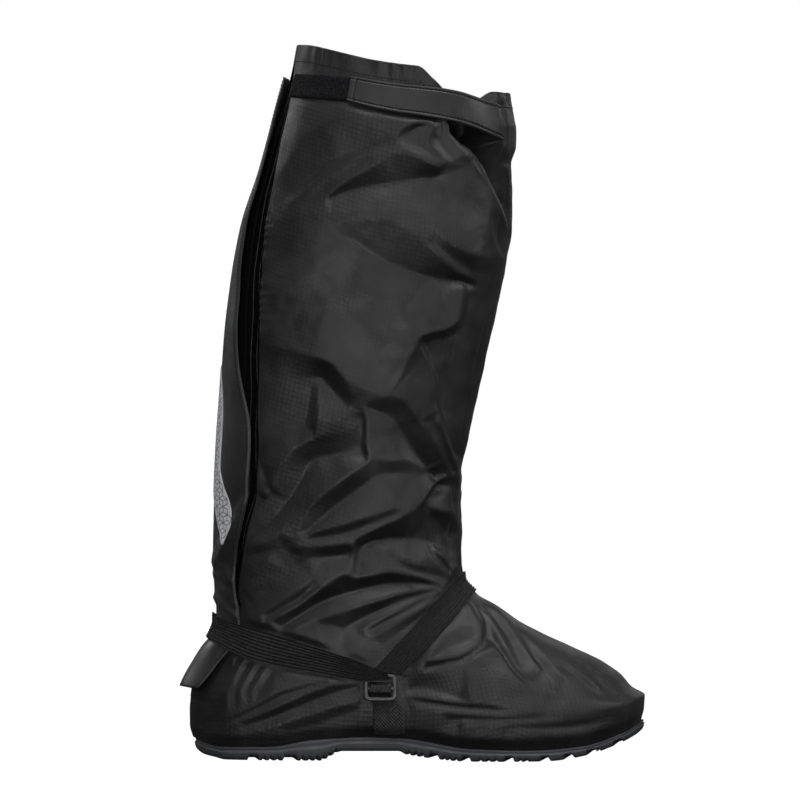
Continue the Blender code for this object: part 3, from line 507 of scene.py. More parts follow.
    [(470, 602, 1.5), (476, 616, 2.5), (480, 630, 3.5), (479, 643, 3.5), (470, 652, 3.5), (452, 659, 3.5),
     (430, 661, 3), (416, 662, 2)],
    [(488, 624, -2.5), (487, 640, -3), (480, 649, -2.5), (466, 657.5, -2), (448, 663, -2),
     (428, 668, -1)],
    [(420, 673, 1.5), (445, 669, 2.5), (468, 660.5, 3), (480, 652, 3.5), (490, 649, 4), (499, 654, 4),
     (507, 665, 4), (516, 677, 3.5), (525, 685, 2.5)],
    [(474, 600, -2), (483, 611, -2.5), (490, 624, -2.5), (496, 641, -2.5), (505, 659, -2),
     (515, 674, -1.5), (525, 682, -1), (534, 684, 0)],
    [(481, 605, 0), (490, 618, 1.5), (497, 632, 2), (506, 650, 2.5), (517, 668, 2.5), (528, 678, 2)],
    [(482, 604, -3), (491, 611, -4), (499, 622, -3.5), (507, 634, -2.5), (514, 648, -1), (520, 662, 0)],
    [(486, 603, 0.5), (497, 612, 2), (507, 624, 2.5), (517, 637, 2.5), (528, 653, 2.5), (540, 669, 2)],
    [(512, 628, -0.5), (524, 643, -1), (535, 659, -1.5), (546, 673, -1), (560, 688, 0)],
    [(520, 628, 1), (535, 646, 1.5), (550, 664, 1.5), (566, 681, 1)],
    [(440, 640, 1.5), (452, 632, 2.5), (464, 627, 3), (474, 626, 3)],
    [(440, 652, 0), (458, 645, 0.5), (472, 642, 1.5)],
    [(406, 690, -3), (425, 688, -3), (445, 692, -2.5), (458, 697, -1)],
    [(404, 697, 0.5), (425, 698, 1.5), (450, 702, 1.8), (480, 705, 1.8), (510, 708, 1)],
    [(415, 700.5, -1), (440, 704.5, -1.5), (470, 708, -1.5), (495, 710.5, -1.2), (514, 711, 0)],
    [(408, 704, 0.8), (440, 710, 1.5), (475, 713, 1.5), (510, 714.5, 1.2), (535, 713, 1)],
    [(450, 719, -0.8), (490, 721, -0.8), (525, 719, -1), (552, 716, 0)],
    [(465, 724, 0.8), (500, 724, 1.2), (540, 722.5, 1.2), (575, 720, 1.2), (600, 716, 0.8)],
    [(510, 727, -0.5), (545, 727.5, -1), (568, 727, -1), (588, 723, -0.5), (606, 719, 0.4)],
    [(520, 733, 0.8), (560, 733, 1), (590, 729, 1), (615, 721, 0.8)],
    [(540, 690, 2), (565, 696, 2.5), (590, 702, 2.5), (615, 704, 2)],
    [(566, 662, 0.8), (578, 671, 1.2), (590, 681, 1.2), (603, 694, 0.6)],
    [(563, 665, -0.5), (576, 675, -0.8), (588, 685, -0.8), (600, 697, 0.5)],
    [(576, 664, -0.3), (590, 675, -0.5), (603, 687, -0.3)],
    # Heel
    [(224, 720, 0.5), (244, 711, 1.2), (262, 702, 1.8), (280, 692, 2), (300, 686.5, 2), (320, 681, 1.8),
     (336, 675, 1)],
    [(228, 721.5, -0.6), (246, 714.5, -0.8), (264, 706.5, -0.8), (284, 696, -0.5), (304, 689.5, 0),
     (324, 683.5, 0.5)],
    [(232, 722.5, 0.8), (252, 716.5, 2), (272, 709, 2.8), (292, 700, 3), (312, 691.5, 3), (334, 684, 2.5),
     (356, 678, 1.5)],
    [(246, 725, -0.5), (268, 719, -1.5), (290, 710, -2), (312, 701, -2), (336, 692, -2),
     (358, 686, -1.5)],
    [(240, 736, 0.5), (264, 728, 1.5), (290, 720, 2), (316, 712, 2), (342, 705, 1.8), (362, 701, 1)],
    [(290, 731, -0.5), (320, 722, -1), (350, 712, -1), (366, 708, 0)],
    [(234, 654, 1), (226, 668, 1), (219, 682, 0.5)],
    [(240, 656, -1), (232, 669, -1), (224, 683, -0.5)],
    [(246, 657, 1), (238, 670, 1), (231, 683, 0.5)],
    [(252, 658, -1), (244, 672, -1), (236, 686, -0.5)],
    [(258, 659, 1), (250, 673, 1.2), (241, 688, 0.6)],
    [(264, 660, -1), (256, 674, -1), (246, 690, -0.5)],
    [(269, 662, 1), (262, 675, 1.2), (252, 691, 0.6)],
    [(276, 664, -0.8), (268, 678, -0.8), (257, 693, -0.4)],
    [(284, 666, 0.8), (274, 680, 0.8), (262, 694, 0.4)],
    [(213, 664, 0.6), (210, 690, 0.6), (209, 712, 0.6), (207, 738, 0.4)],
    [(209, 668, -0.6), (206, 690, -0.8), (205, 712, -0.8), (203, 736, -0.4)],
]
FOLD_SCALE = 0.8
FOLD_STEP = 0.7  # spacing of the grid that holds the folds
FOLD_SOFTENING = 3  # rounds of smoothing that blunt the fold lines
FOLD_REGION = (-60, 0, 300, 490)
CURVE_STEPS = 4
RIPSTOP_PITCH = 3.15 * MM
RIPSTOP_TURN = 0.07  # radians off the upper's own lines
INNER_SHARE = 0.75  # the inner side's creases, against those of the outer side
INNER_SHIFT = (-5, 12)
FACING_EASE = 0.2
Crumple = namedtuple("Crumple", "size rise")
CRUMPLES = rows_of(Crumple, [(0.030, 0.7), (0.011, 0.28)])  # metres and millimetres
UPPER_ROWS = 342
OUTER_COLUMNS = 288
INNER_COLUMNS = 100
PANEL_COLUMNS = 8
LINING_ROWS = 140
LINING_OUTER_COLUMNS = 90
LINING_INNER_COLUMNS = 70
LINING_PANEL_COLUMNS = 5
TUCK_IN = 1.6 * MM
TUCK_DOWN = 1.4 * MM
Wave = namedtuple("Wave", "length wander wander_length")
PUCKER_WAVE = Wave(1.3, 4.0, 8.0)
PUCKER_FADE = 2.5
PUCKER_MIDDLE = 325
PUCKER_HALF = 75
PUCKER_RISE = 0.6
PUCKER_REACH_ANGLE = 9
HEM_RISE = 0.5
HEM_REACH = 18 * MM
HEM_DEPTH = 10 * MM
HEM_WAVE = Wave(1.6, 3.0, 7.0)
HEM_SWELL = 0.6
HEM_SWELL_LENGTH = 4.3
HEM_STEPS = 400
HEM_STITCH_INSET = 2
COLLAR_RIM = 0.8 * MM
COLLAR_STEPS = 260

# Strap edges, stitches and finishes
CROWN_DROP = 0.8  # how much of its squared thickness a strap loses at its edges
STITCH_SINK = (-0.8, 0.3, 0.3, -0.8)  # heights along a stitch, in thread radii
TINT_RANGE = (0.3, 0.7)
CORD_SHARE = 0.28
FINE_CORDS = 0.55

# Camera
VIEW_DISTANCE = 3.2
VIEW_AIM = (0.1099, 0.0, 0.2389)
LENS = 215
SENSOR = 36

# Stage
FLOOR_HALF = 12
FLOOR_TONE = 0.05
FLOOR_ROUGHNESS = 0.9
WHITE = (1, 1, 1, 1)
PART_MIDDLE = (0.1, 0, 0.25)
Light = namedtuple("Light", "name place aim size power spread glossy")
LIGHTS = rows_of(Light, [
    ("key", (0.4, -0.95, 1.8), PART_MIDDLE, (1.6, 1.2), 26, 180, True),
    ("left_strip", (-1.6, -0.9, 1.3), PART_MIDDLE, (0.5, 1.0), 2.2, 180, True),
    ("right_strip", (2.0, -0.7, 1.1), PART_MIDDLE, (0.6, 1.4), 14, 180, True),
    ("front_fill", (0.1, -3.0, 1.0), PART_MIDDLE, (2.0, 1.0), 8, 180, True),
    ("low_fill", (0.15, -1.6, 0.06), (0.12, 0, 0.06), (2.0, 0.1), 8, 180, True),
    ("rear_strip", (-1.3, 1.0, 1.2), (0.0, 0, 0.38), (0.3, 0.5), 0.12, 17, True),
    ("inner_key", (1.3, 1.6, 1.3), PART_MIDDLE, (1.2, 1.2), 4, 180, True),
    ("inner_rear", (-1.6, 1.2, 1.0), PART_MIDDLE, (1.2, 1.2), 1.5, 180, True),
    ("inner_fill", (0.2, 2.3, 0.9), PART_MIDDLE, (1.6, 1.2), 90, 180, False),
    ("back_fill", (-2.2, 0.6, 0.8), PART_MIDDLE, (1.2, 1.2), 28, 180, False),
])


# Numbers
def eased(value):
    """Eases 0 to 1."""
    value = np.clip(value, 0.0, 1.0)
    return value * value * (3 - 2 * value)


def bell(value):
    """1 at 0, easing to 0 at -1 and 1."""
    return np.where(np.abs(value) < 1, 0.5 * (1 + np.cos(np.pi * value)), 0.0)


def through(places, values, at):
    """A smooth curve through values at rising places, with no overshoot."""
    steps = np.diff(values) / np.diff(places)
    product = np.maximum(steps[:-1] * steps[1:], 0.0)
    total = steps[:-1] + steps[1:]
    inside = 2 * product / np.where(total == 0, 1.0, total)
    slopes = np.concatenate(([steps[0]], inside, [steps[-1]]))
    at = np.clip(at, places[0], places[-1])
    low = np.clip(np.searchsorted(places, at, side="right") - 1, 0, len(places) - 2)
    span = places[low + 1] - places[low]
    t = (at - places[low]) / span
    start = (1 + 2 * t) * (1 - t) ** 2 * values[low] + t * (1 - t) ** 2 * span * slopes[low]
    end = t * t * (3 - 2 * t) * values[low + 1] + t * t * (t - 1) * span * slopes[low + 1]
    return start + end


def column(table, key, name, at):
    """A column of a table, read by a smooth curve through its rows. The rows may run up or down."""
    rows = sorted(table, key=lambda row: getattr(row, key))
    places = np.array([getattr(row, key) for row in rows], float)
    values = np.array([getattr(row, name) for row in rows], float)
    return through(places, values, at)


def band_edges(table, angle):
    """Heights of a band's lower and upper edges, in millimetres."""
    return column(table, "angle", "low", angle), column(table, "angle", "high", angle)


def side_edges(table, level):
    """Angles of a piece's inner and outer edges."""
    return column(table, "height", "inner_edge", level), column(table, "height", "outer_edge", level)


def squared(value, power):
    """A signed power, which squares off a circle."""
    return np.sign(value) * np.abs(value) ** power


def wandering(wave, at):
    """A wave whose length wanders."""
    return np.sin(at / wave.length + wave.wander * np.sin(at / wave.wander_length))


def unit(vectors):
    """Vectors scaled to a length of 1."""
    return vectors / np.maximum(np.linalg.norm(vectors, axis=-1, keepdims=True), 1e-12)


# The upper's surface
def outline(section, angle, inset=0.0):
    """X and Y of a section's rim in metres."""
    turn = np.radians(angle)
    share = (1 - np.cos(turn)) / 2
    inner = np.sin(turn) < 0

    def fill(at):
        power = np.where(at < 0.5, section.fullness, np.minimum(section.fullness, TOE_FULLNESS))
        return np.maximum(0.0, 1 - np.abs(2 * at - 1) ** power) ** (1 / power)

    waist = section.waist - np.where(inner, section.arch, 0)
    at_heel = section.heel / fill(HEEL_STATION)
    at_waist = waist / fill(WAIST_STATION)
    at_ball = section.ball / fill(BALL_STATION)
    to_waist = eased((share - HEEL_STATION) / (WAIST_STATION - HEEL_STATION))
    to_ball = eased((share - WAIST_STATION) / (BALL_STATION - WAIST_STATION))
    width = at_heel + (at_waist - at_heel) * to_waist + (at_ball - at_waist) * to_ball
    half = np.maximum(0.0, width * fill(share) - inset)
    skew = section.skew * eased((share - WAIST_STATION) / (1 - WAIST_STATION))
    x = section.back + (section.front - section.back) * share + inset * np.cos(turn)
    return x * MM, (np.where(inner, half, -half) + skew) * MM


def from_back(angle):
    """The angle from the back, below zero on the inner side."""
    return (angle + 180) % 360 - 180


def collar_tilt(height):
    """How much of the collar's slope a height has, from 0 to 1."""
    return eased((height - COLLAR_REACH) / (COLLAR - COLLAR_REACH))


def pleat_place(angle, level):
    """Places across the pleat, from -1 at its rear edge to 1 at its front edge."""
    middle = column(PLEAT_ROWS, "height", "middle", level)
    return (from_back(angle) - middle) / column(PLEAT_ROWS, "height", "half", level)


def surface(angle, height, pleated=True):
    """Points on the upper's outer face, before its folds."""
    angle, height = np.broadcast_arrays(np.asarray(angle, float), np.asarray(height, float))
    level = height / MM
    sizes = [column(UPPER_SECTIONS, "height", name, level) for name in Section._fields[1:]]
    section = Section(level, *sizes)
    x, y = outline(section, angle)
    turned = from_back(angle)
    seam = column(SOLE_TOP, "along", "height", x / MM) * MM + SEAM_GAP - JOINT
    z = height + seam * (1 - eased((height - JOINT) / (SEAM_REACH - JOINT)))
    tilt = collar_tilt(height)
    z = z + column(COLLAR_RISE, "angle", "rise", np.abs(turned)) * MM * tilt
    if pleated:
        place = pleat_place(angle, level)
        from_rear = np.clip((1 + place) / PLEAT_DROP, 0, 1)
        from_front = np.clip((1 - place) / (2 - PLEAT_DROP), 0, 1) ** 2
        depth = column(PLEAT_ROWS, "height", "depth", level) * np.minimum(from_rear, from_front)
        brink = POCKET_BRINK[0] + (POCKET_BRINK[1] - POCKET_BRINK[0]) * (place + 1) / 2
        recess = eased((level - brink) / POCKET_EASE) * (1 - eased((level - POCKET_TOP) / POCKET_EASE))
        depth = (depth + POCKET_DEPTH * recess * eased((1 - np.abs(place)) / POCKET_EDGE)) * MM
        aim = (section.back + (section.front - section.back) * PLEAT_AIM) * MM
        reach = np.maximum(np.hypot(aim - x, y), 1e-9)
        x, y = x + (aim - x) / reach * depth, y - y / reach * depth
        z = z - PLEAT_COLLAR_DIP * tilt * bell((turned - PLEAT_DIP_ANGLE) / PLEAT_DIP_HALF)
    return np.stack([x, y, z], axis=-1)


def mean_height(angle, up):
    """Height of the section that meets places at a true height, where the collar slopes."""
    rise = column(COLLAR_RISE, "angle", "rise", np.abs(from_back(angle))) * MM
    height = up
    for _ in range(SETTLE_ROUNDS):
        height = up - rise * collar_tilt(height)
    return height


def angle_at(along, level):
    """Angle of the outer side's surface at places along the foot and up, in millimetres."""
    back = column(UPPER_SECTIONS, "height", "back", level)
    front = column(UPPER_SECTIONS, "height", "front", level)
    share = np.clip((along - back) / (front - back), 0, 1)
    return np.degrees(np.arccos(1 - 2 * share))


def instep_edge(edge, along):
    """Height of an edge of the instep band at places along the foot, in millimetres."""
    front = float(column(UPPER_SECTIONS, "height", "front", edge.front_height))
    return edge.height + (along - edge.along) * (edge.front_height - edge.height) / (front - edge.along)


def normals(angle, height, pleated=True):
    """Outward directions of the upper's outer face."""
    height = np.asarray(height, float)
    low = np.maximum(JOINT, height - SLOPE_HEIGHT)
    high = np.minimum(COLLAR, height + SLOPE_HEIGHT)
    across = surface(angle + SLOPE_ANGLE, height, pleated) - surface(angle - SLOPE_ANGLE, height, pleated)
    upward = surface(angle, high, pleated) - surface(angle, low, pleated)
    return unit(np.cross(across, upward))


def skin(angle, height, lift=0.0, pleated=True):
    """Points lifted off the upper's outer face."""
    lift = np.asarray(lift, float)[..., None]
    return surface(angle, height, pleated) + normals(angle, height, pleated) * lift


# Folds
def fold_points(fold):
    """A fold's points along the foot and up, in whole millimetres, and how far each stands out."""
    left, ground = ORIGIN_PIXEL
    points = []
    for across, down, rise in fold:
        points.append((round((across - left) * MM_PER_PIXEL), round((ground - down) * MM_PER_PIXEL), rise))
    return points


def curve_through(points):
    """A smooth line through given points."""
    points = np.array(points, float)
    lengths = np.concatenate(([0.0], np.cumsum(np.linalg.norm(np.diff(points, axis=0), axis=1))))
    at = np.linspace(0, lengths[-1], CURVE_STEPS * (len(points) - 1) + 1)
    return np.stack([through(lengths, points[:, i], at) for i in range(points.shape[1])], axis=1)


def fold_triangles():
    """Corners along the foot, up and out, and the triangles of the facets between the fold lines."""
    places, edges = [], []
    for fold in FOLDS:
        first = len(places)
        places.extend(curve_through(fold_points(fold)))
        edges.extend((i, i + 1) for i in range(first, len(places) - 1))
    left, low, right, high = FOLD_REGION
    places.extend(np.array([x, z, 0.0]) for x in (left, right) for z in (low, high))
    places = np.array(places)
    joined = delaunay_2d_cdt([Vector(place[:2]) for place in places], edges, [], 0, 1e-3)
    flat, triangles, sources = np.array(joined[0]), joined[2], joined[3]
    nearest = [np.argmin(np.hypot(*(places[:, :2] - place).T)) for place in flat]
    source = [found[0] if found else near for found, near in zip(sources, nearest)]
    return np.column_stack([flat, places[source, 2]]), triangles


def fold_grid():
    """How far the folds stand out in millimetres, on a grid over the side view."""
    corners, triangles = fold_triangles()
    left, low, right, high = FOLD_REGION
    along = np.arange(left, right, FOLD_STEP)
    up = np.arange(low, high, FOLD_STEP)
    rises = np.zeros((len(up), len(along)))
    for triangle in triangles:
        a, b, c = corners[list(triangle)]
        inside = np.stack([a, b, c])
        first = np.floor((inside[:, :2].min(axis=0) - (left, low)) / FOLD_STEP).astype(int)
        last = np.ceil((inside[:, :2].max(axis=0) - (left, low)) / FOLD_STEP).astype(int) + 1
        window = (slice(first[1], last[1]), slice(first[0], last[0]))
        x = along[window[1]][None, :] - a[0]
        z = up[window[0]][:, None] - a[1]
        area = (b[0] - a[0]) * (c[1] - a[1]) - (c[0] - a[0]) * (b[1] - a[1])
        if abs(area) < 1e-9:
            continue
        to_b = (x * (c[1] - a[1]) - z * (c[0] - a[0])) / area
        to_c = (z * (b[0] - a[0]) - x * (b[1] - a[1])) / area
        within = (to_b >= 0) & (to_c >= 0) & (to_b + to_c <= 1)
        rises[window][within] = (a[2] + to_b * (b[2] - a[2]) + to_c * (c[2] - a[2]))[within]
    for _ in range(FOLD_SOFTENING):
        for axis in (0, 1):
            rises = (np.roll(rises, 1, axis) + 2 * rises + np.roll(rises, -1, axis)) / 4
    return rises * FOLD_SCALE


fold_rises = fold_grid()


def fold_rise(along, up):
    """How far the folds stand out, in millimetres, at places in the side view."""
    left, low = FOLD_REGION[:2]
    rows, columns = fold_rises.shape
    x = np.clip((along - left) / FOLD_STEP, 0, columns - 2)
    z = np.clip((up - low) / FOLD_STEP, 0, rows - 2)
    j, i = x.astype(int), z.astype(int)
    x, z = x - j, z - i
    lower = fold_rises[i, j] * (1 - x) + fold_rises[i, j + 1] * x
    upper = fold_rises[i + 1, j] * (1 - x) + fold_rises[i + 1, j + 1] * x
    return lower * (1 - z) + upper * z


def held_down(angle, height):
    """1 where a strap, tab, patch or flap holds the fabric flat, easing to 0 around it."""
    turned = from_back(angle)
    level = height / MM
    held = np.zeros(np.broadcast(angle, height).shape)

    def hold(low, high, ease, place, where=True):
        inside = np.minimum(eased((place - low) / ease + 1), eased((high - place) / ease + 1))
        return np.maximum(held, np.where(where, inside, 0.0))

    side = np.abs(turned)
    low, high = band_edges(ANKLE_BAND, side)
    held = hold(low, high, BAND_EASE, level, side < ANKLE_BAND[-1].angle + 1)
    points = surface(angle, height)
    along, up = points[..., 0] / MM, points[..., 2] / MM
    low, high = instep_edge(INSTEP_LOW, along), instep_edge(INSTEP_HIGH, along)
    held = hold(low, high, BAND_EASE, level, along > INSTEP_HIGH.along - INSTEP_END_REACH)
    for table in (PATCH_BAND, CUFF_BAND):
        low, high = band_edges(table, turned)
        first, last = table[0].angle - CUFF_REACH_ANGLE, table[-1].angle + CUFF_REACH_ANGLE
        held = hold(low, high, CUFF_EASE, up, (turned > first) & (turned < last))
    inner, outer = side_edges(FLAP_ROWS, level)
    held = hold(inner - FLAP_SEWN_REACH, outer + FLAP_FREE_REACH, FLAP_EASE, turned, level > FLAP_HOLD_FOOT)
    for middle in (OUTER_TAB_ROWS[0].angle, INNER_TAB_ROWS[0].angle):
        held = hold(middle - TAB_REACH, middle + TAB_REACH, TAB_EASE, turned, level < TAB_HOLD_TOP)
    return held


def crumple(points):
    """Small unplanned unevenness of the fabric, in millimetres."""
    total = np.zeros(points.shape[:-1])
    flat = points.reshape(-1, 3)
    for size, rise in CRUMPLES:
        values = [noise.noise(Vector(point / size)) for point in flat]
        total += rise * np.array(values).reshape(total.shape)
    return total


def creased(angle, height, lift=0.0):
    """Points on the upper's creased face."""
    angle, height = np.broadcast_arrays(np.asarray(angle, float), np.asarray(height, float))
    flat = surface(angle, height)
    nearness = VIEW_DISTANCE / (VIEW_DISTANCE + flat[..., 1])
    along = (VIEW_AIM[0] + (flat[..., 0] - VIEW_AIM[0]) * nearness) / MM
    up = (VIEW_AIM[2] + (flat[..., 2] - VIEW_AIM[2]) * nearness) / MM
    facing = eased((np.sin(np.radians(angle)) + FACING_EASE) / (2 * FACING_EASE))
    shifted = fold_rise(flat[..., 0] / MM + INNER_SHIFT[0], flat[..., 2] / MM + INNER_SHIFT[1])
    rise = fold_rise(along, up) * facing + INNER_SHARE * shifted * (1 - facing) + crumple(flat)
    level = height / MM
    beyond = (angle - column(ZIP_PATH, "height", "edge", level)) / PUCKER_REACH_ANGLE
    wave = wandering(PUCKER_WAVE, level) * bell((level - PUCKER_MIDDLE) / PUCKER_HALF)
    rise = rise + PUCKER_RISE * wave * np.where(beyond >= 0, np.exp(-PUCKER_FADE * beyond), 0.0)
    wave = wandering(HEM_WAVE, angle) + HEM_SWELL * np.sin(angle / HEM_SWELL_LENGTH)
    rise = rise + HEM_RISE * wave * eased(1 - (COLLAR - height) / HEM_REACH)
    in_pleat = eased((1 - np.abs(pleat_place(angle, level))) / PLEAT_CALM)
    in_pleat = in_pleat * eased((level - PLEAT_ROWS[1].height) / PLEAT_CALM_HEIGHT)
    rise = rise * (1 - held_down(angle, height)) * (1 - in_pleat) * MM
    return flat + normals(angle, height) * (rise + lift)[..., None]


# Meshes: a part is its points, its four-cornered faces and a flat weave coordinate for each point
Part = namedtuple("Part", "points faces weave")


def grid_faces(rows, columns, closed=False):
    """Faces between neighbours in a grid of points, as a grid of corner numbers."""
    i = np.arange(rows - 1)[:, None]
    j = np.arange(columns if closed else columns - 1)[None, :]
    k = (j + 1) % columns
    corners = [i * columns + j, i * columns + k, (i + 1) * columns + k, (i + 1) * columns + j]
    return np.stack(np.broadcast_arrays(*corners), axis=-1)


def lengths_along(points, axis):
    """Distances along an axis of a grid of points."""
    steps = np.linalg.norm(np.diff(points, axis=axis), axis=-1)
    start = np.zeros_like(np.take(steps, [0], axis=axis))
    return np.concatenate([start, np.cumsum(steps, axis=axis)], axis=axis)


def weave_of(points):
    """Weave coordinates in metres: across each row from its middle, and down each column from its top."""
    across = lengths_along(points, 1)
    across = across - across[:, [points.shape[1] // 2]]
    upward = lengths_along(points, 0)
    return np.stack([across, upward - upward[[-1]]], axis=-1)


def slab(top, bottom):
    """A closed sheet between two grids of points."""
    rows, columns = top.shape[:2]
    points = np.concatenate([top.reshape(-1, 3), bottom.reshape(-1, 3)])
    weave = np.concatenate([weave_of(top).reshape(-1, 2)] * 2)
    number = np.arange(rows * columns).reshape(rows, columns)
    rim = np.concatenate([number[0, :-1], number[:-1, -1], number[-1, :0:-1], number[:0:-1, 0]])
    after = np.roll(rim, -1)
    under = rows * columns
    face = grid_faces(rows, columns).reshape(-1, 4)
    side = np.stack([rim, after, after + under, rim + under], axis=-1)
    return Part(points, np.concatenate([face, face[:, ::-1] + under, side]), weave)


def tube(path, out, half_across, half_out, closed=False, sides=10, squareness=2.0):
    """A bar along a path; out is the direction of its outer face."""
    path = np.asarray(path, float)
    out = np.broadcast_to(np.asarray(out, float), path.shape)
    if closed:
        ahead = np.roll(path, -1, axis=0) - np.roll(path, 1, axis=0)
    else:
        ahead = np.gradient(path, axis=0)
    across = unit(np.cross(unit(ahead), out))
    turn = 2 * np.pi * np.arange(sides) / sides
    wide = squared(np.cos(turn), 2 / squareness) * half_across
    tall = squared(np.sin(turn), 2 / squareness) * half_out
    points = path[:, None] + across[:, None] * wide[None, :, None] + out[:, None] * tall[None, :, None]
    rows = len(path)
    faces = grid_faces(rows + 1 if closed else rows, sides, closed=True).reshape(-1, 4) % (rows * sides)
    if not closed:
        for base in (0, (rows - 1) * sides):
            ring = base + np.arange(sides)
            caps = [[ring[k], ring[k + 1], ring[-k - 2], ring[-k - 1]] for k in range(sides // 2 - 1)]
            faces = np.concatenate([faces, caps])
    weave = np.stack([np.broadcast_to(turn, (rows, sides)) * half_across, lengths_along(points, 0)], axis=-1)
    return Part(points.reshape(-1, 3), faces, weave.reshape(-1, 2))


def turn_outward(mesh, weld=0.0):
    """Turns a closed mesh's faces outward, after joining corners that meet."""
    edited = bmesh.new()
    edited.from_mesh(mesh)
    if weld:
        bmesh.ops.remove_doubles(edited, verts=edited.verts, dist=weld)
    bmesh.ops.recalc_face_normals(edited, faces=edited.faces)
    edited.to_mesh(mesh)
    edited.free()


def add_piece(name, parts, finish, replaced=(), closed=True):
    """One object from parts. It rides on the overshoe's only body."""
    points = np.concatenate([part.points for part in parts])
    weave = np.concatenate([part.weave for part in parts])
    starts = np.cumsum([0] + [len(part.points) for part in parts])
    faces = np.concatenate([part.faces + start for part, start in zip(parts, starts)]).astype(np.int32)
    mesh = bpy.data.meshes.new(name)
    mesh.vertices.add(len(points))
    mesh.vertices.foreach_set("co", points.ravel())
    mesh.loops.add(faces.size)
    mesh.loops.foreach_set("vertex_index", faces.ravel())
    mesh.polygons.add(len(faces))
    mesh.polygons.foreach_set("loop_start", np.arange(0, faces.size, 4, dtype=np.int32))
    layer = mesh.uv_layers.new(name="weave")
    layer.data.foreach_set("uv", weave[faces.ravel()].ravel())
    mesh.update(calc_edges=True)
    if closed:
        turn_outward(mesh)
    mesh.shade_smooth()
    mesh.materials.append(finish)
    piece = bpy.data.objects.new(name, mesh)
    bpy.context.scene.collection.objects.link(piece)
    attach(piece, "root")
    if replaced:
        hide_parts(*replaced)
    return piece


def crowned(across, edge=0.12):
    """Share of a strap's thickness across its width, from -1 to 1, with rounded edges."""
    over = np.clip((np.abs(across) - 1 + edge) / edge, 0, 1)
    return np.sqrt(1 - CROWN_DROP * over * over)


def stitches(place, pitch=2.6 * MM, length=1.9 * MM, thick=0.24 * MM):
    """A row of threads along a path. place(lift) gives its points at a lift off what they are sewn to."""
    path = place(0.0)
    out = unit(place(MM) - path)
    run = lengths_along(path, 0)
    middles = np.arange(pitch / 2, run[-1], pitch)
    parts = []
    for middle in middles:
        ends = np.array([middle - length / 2, middle - length / 4, middle + length / 4, middle + length / 2])
        line = np.stack([np.interp(ends, run, path[:, i]) for i in range(3)], axis=1)
        up = unit(np.array([np.interp(middle, run, out[:, i]) for i in range(3)]))
        sink = np.array(STITCH_SINK)[:, None] * thick
        parts.append(tube(line + up * sink, up, thick, thick, sides=6))
    return parts


# Finishes
def new_finish(name, constants):
    """A material with its constant shader values."""
    made = bpy.data.materials.new(name)
    made.use_nodes = True
    shader = made.node_tree.nodes["Principled BSDF"]
    for socket, value in constants.items():
        shader.inputs[socket].default_value = value
    return made


def add_node(made, kind, inputs=None, **settings):
    """A node with its settings; an input is a value or another node's output."""
    new = made.node_tree.nodes.new(kind)
    for key, value in settings.items():
        setattr(new, key, value)
    for key, value in (inputs or {}).items():
        if isinstance(value, bpy.types.NodeSocket):
            made.node_tree.links.new(value, new.inputs[key])
        else:
            new.inputs[key].default_value = value
    return new


def link_input(made, socket, output):
    made.node_tree.links.new(output, made.node_tree.nodes["Principled BSDF"].inputs[socket])


def math_node(made, operation, *values):
    return add_node(made, "ShaderNodeMath", dict(enumerate(values)), operation=operation).outputs[0]


def noise_node(made, scale, detail=2.0):
    place = add_node(made, "ShaderNodeTexCoord").outputs["Object"]
    inputs = {"Vector": place, "Scale": scale, "Detail": detail}
    return add_node(made, "ShaderNodeTexNoise", inputs).outputs["Fac"]


def between(made, factor, low, high, start=0.35, end=0.65):
    """A number that moves from low to high as a factor moves from start to end."""
    inputs = {"Value": factor, "From Min": start, "From Max": end, "To Min": low, "To Max": high}
    return add_node(made, "ShaderNodeMapRange", inputs, interpolation_type="SMOOTHSTEP").outputs["Result"]


def tint(made, factor, dark, light):
    """The base colour, between two tones."""
    ramp = add_node(made, "ShaderNodeValToRGB", {"Fac": factor})
    for element, place, tone in zip(ramp.color_ramp.elements, TINT_RANGE, (dark, light)):
        element.position = place
        element.color = (*tone, 1)
    link_input(made, "Base Color", ramp.outputs["Color"])


def set_roughness(made, factor, low, high):
    link_input(made, "Roughness", between(made, factor, low, high))


def raise_by(made, height, distance, strength=1.0, below=None):
    """Adds relief to the shader's normal, over any relief below it, and returns the relief."""
    inputs = {"Height": height, "Distance": distance, "Strength": strength}
    if below is not None:
        inputs["Normal"] = below
    relief = add_node(made, "ShaderNodeBump", inputs).outputs["Normal"]
    link_input(made, "Normal", relief)
    return relief


def weave_axes(made, turn=0.0):
    """The two weave coordinates in metres, turned by an angle in radians."""
    place = add_node(made, "ShaderNodeUVMap", uv_map="weave").outputs["UV"]
    if turn:
        place = add_node(made, "ShaderNodeVectorRotate", {"Vector": place, "Angle": turn}).outputs["Vector"]
    split = add_node(made, "ShaderNodeSeparateXYZ", {"Vector": place})
    return split.outputs["X"], split.outputs["Y"]


def cord_lines(made, axis, pitch, share):
    """1 on narrow lines across an axis, 0 between them."""
    wave = math_node(made, "PINGPONG", math_node(made, "DIVIDE", axis, pitch), 0.5)
    return between(made, wave, 1.0, 0.0, 0.0, share)


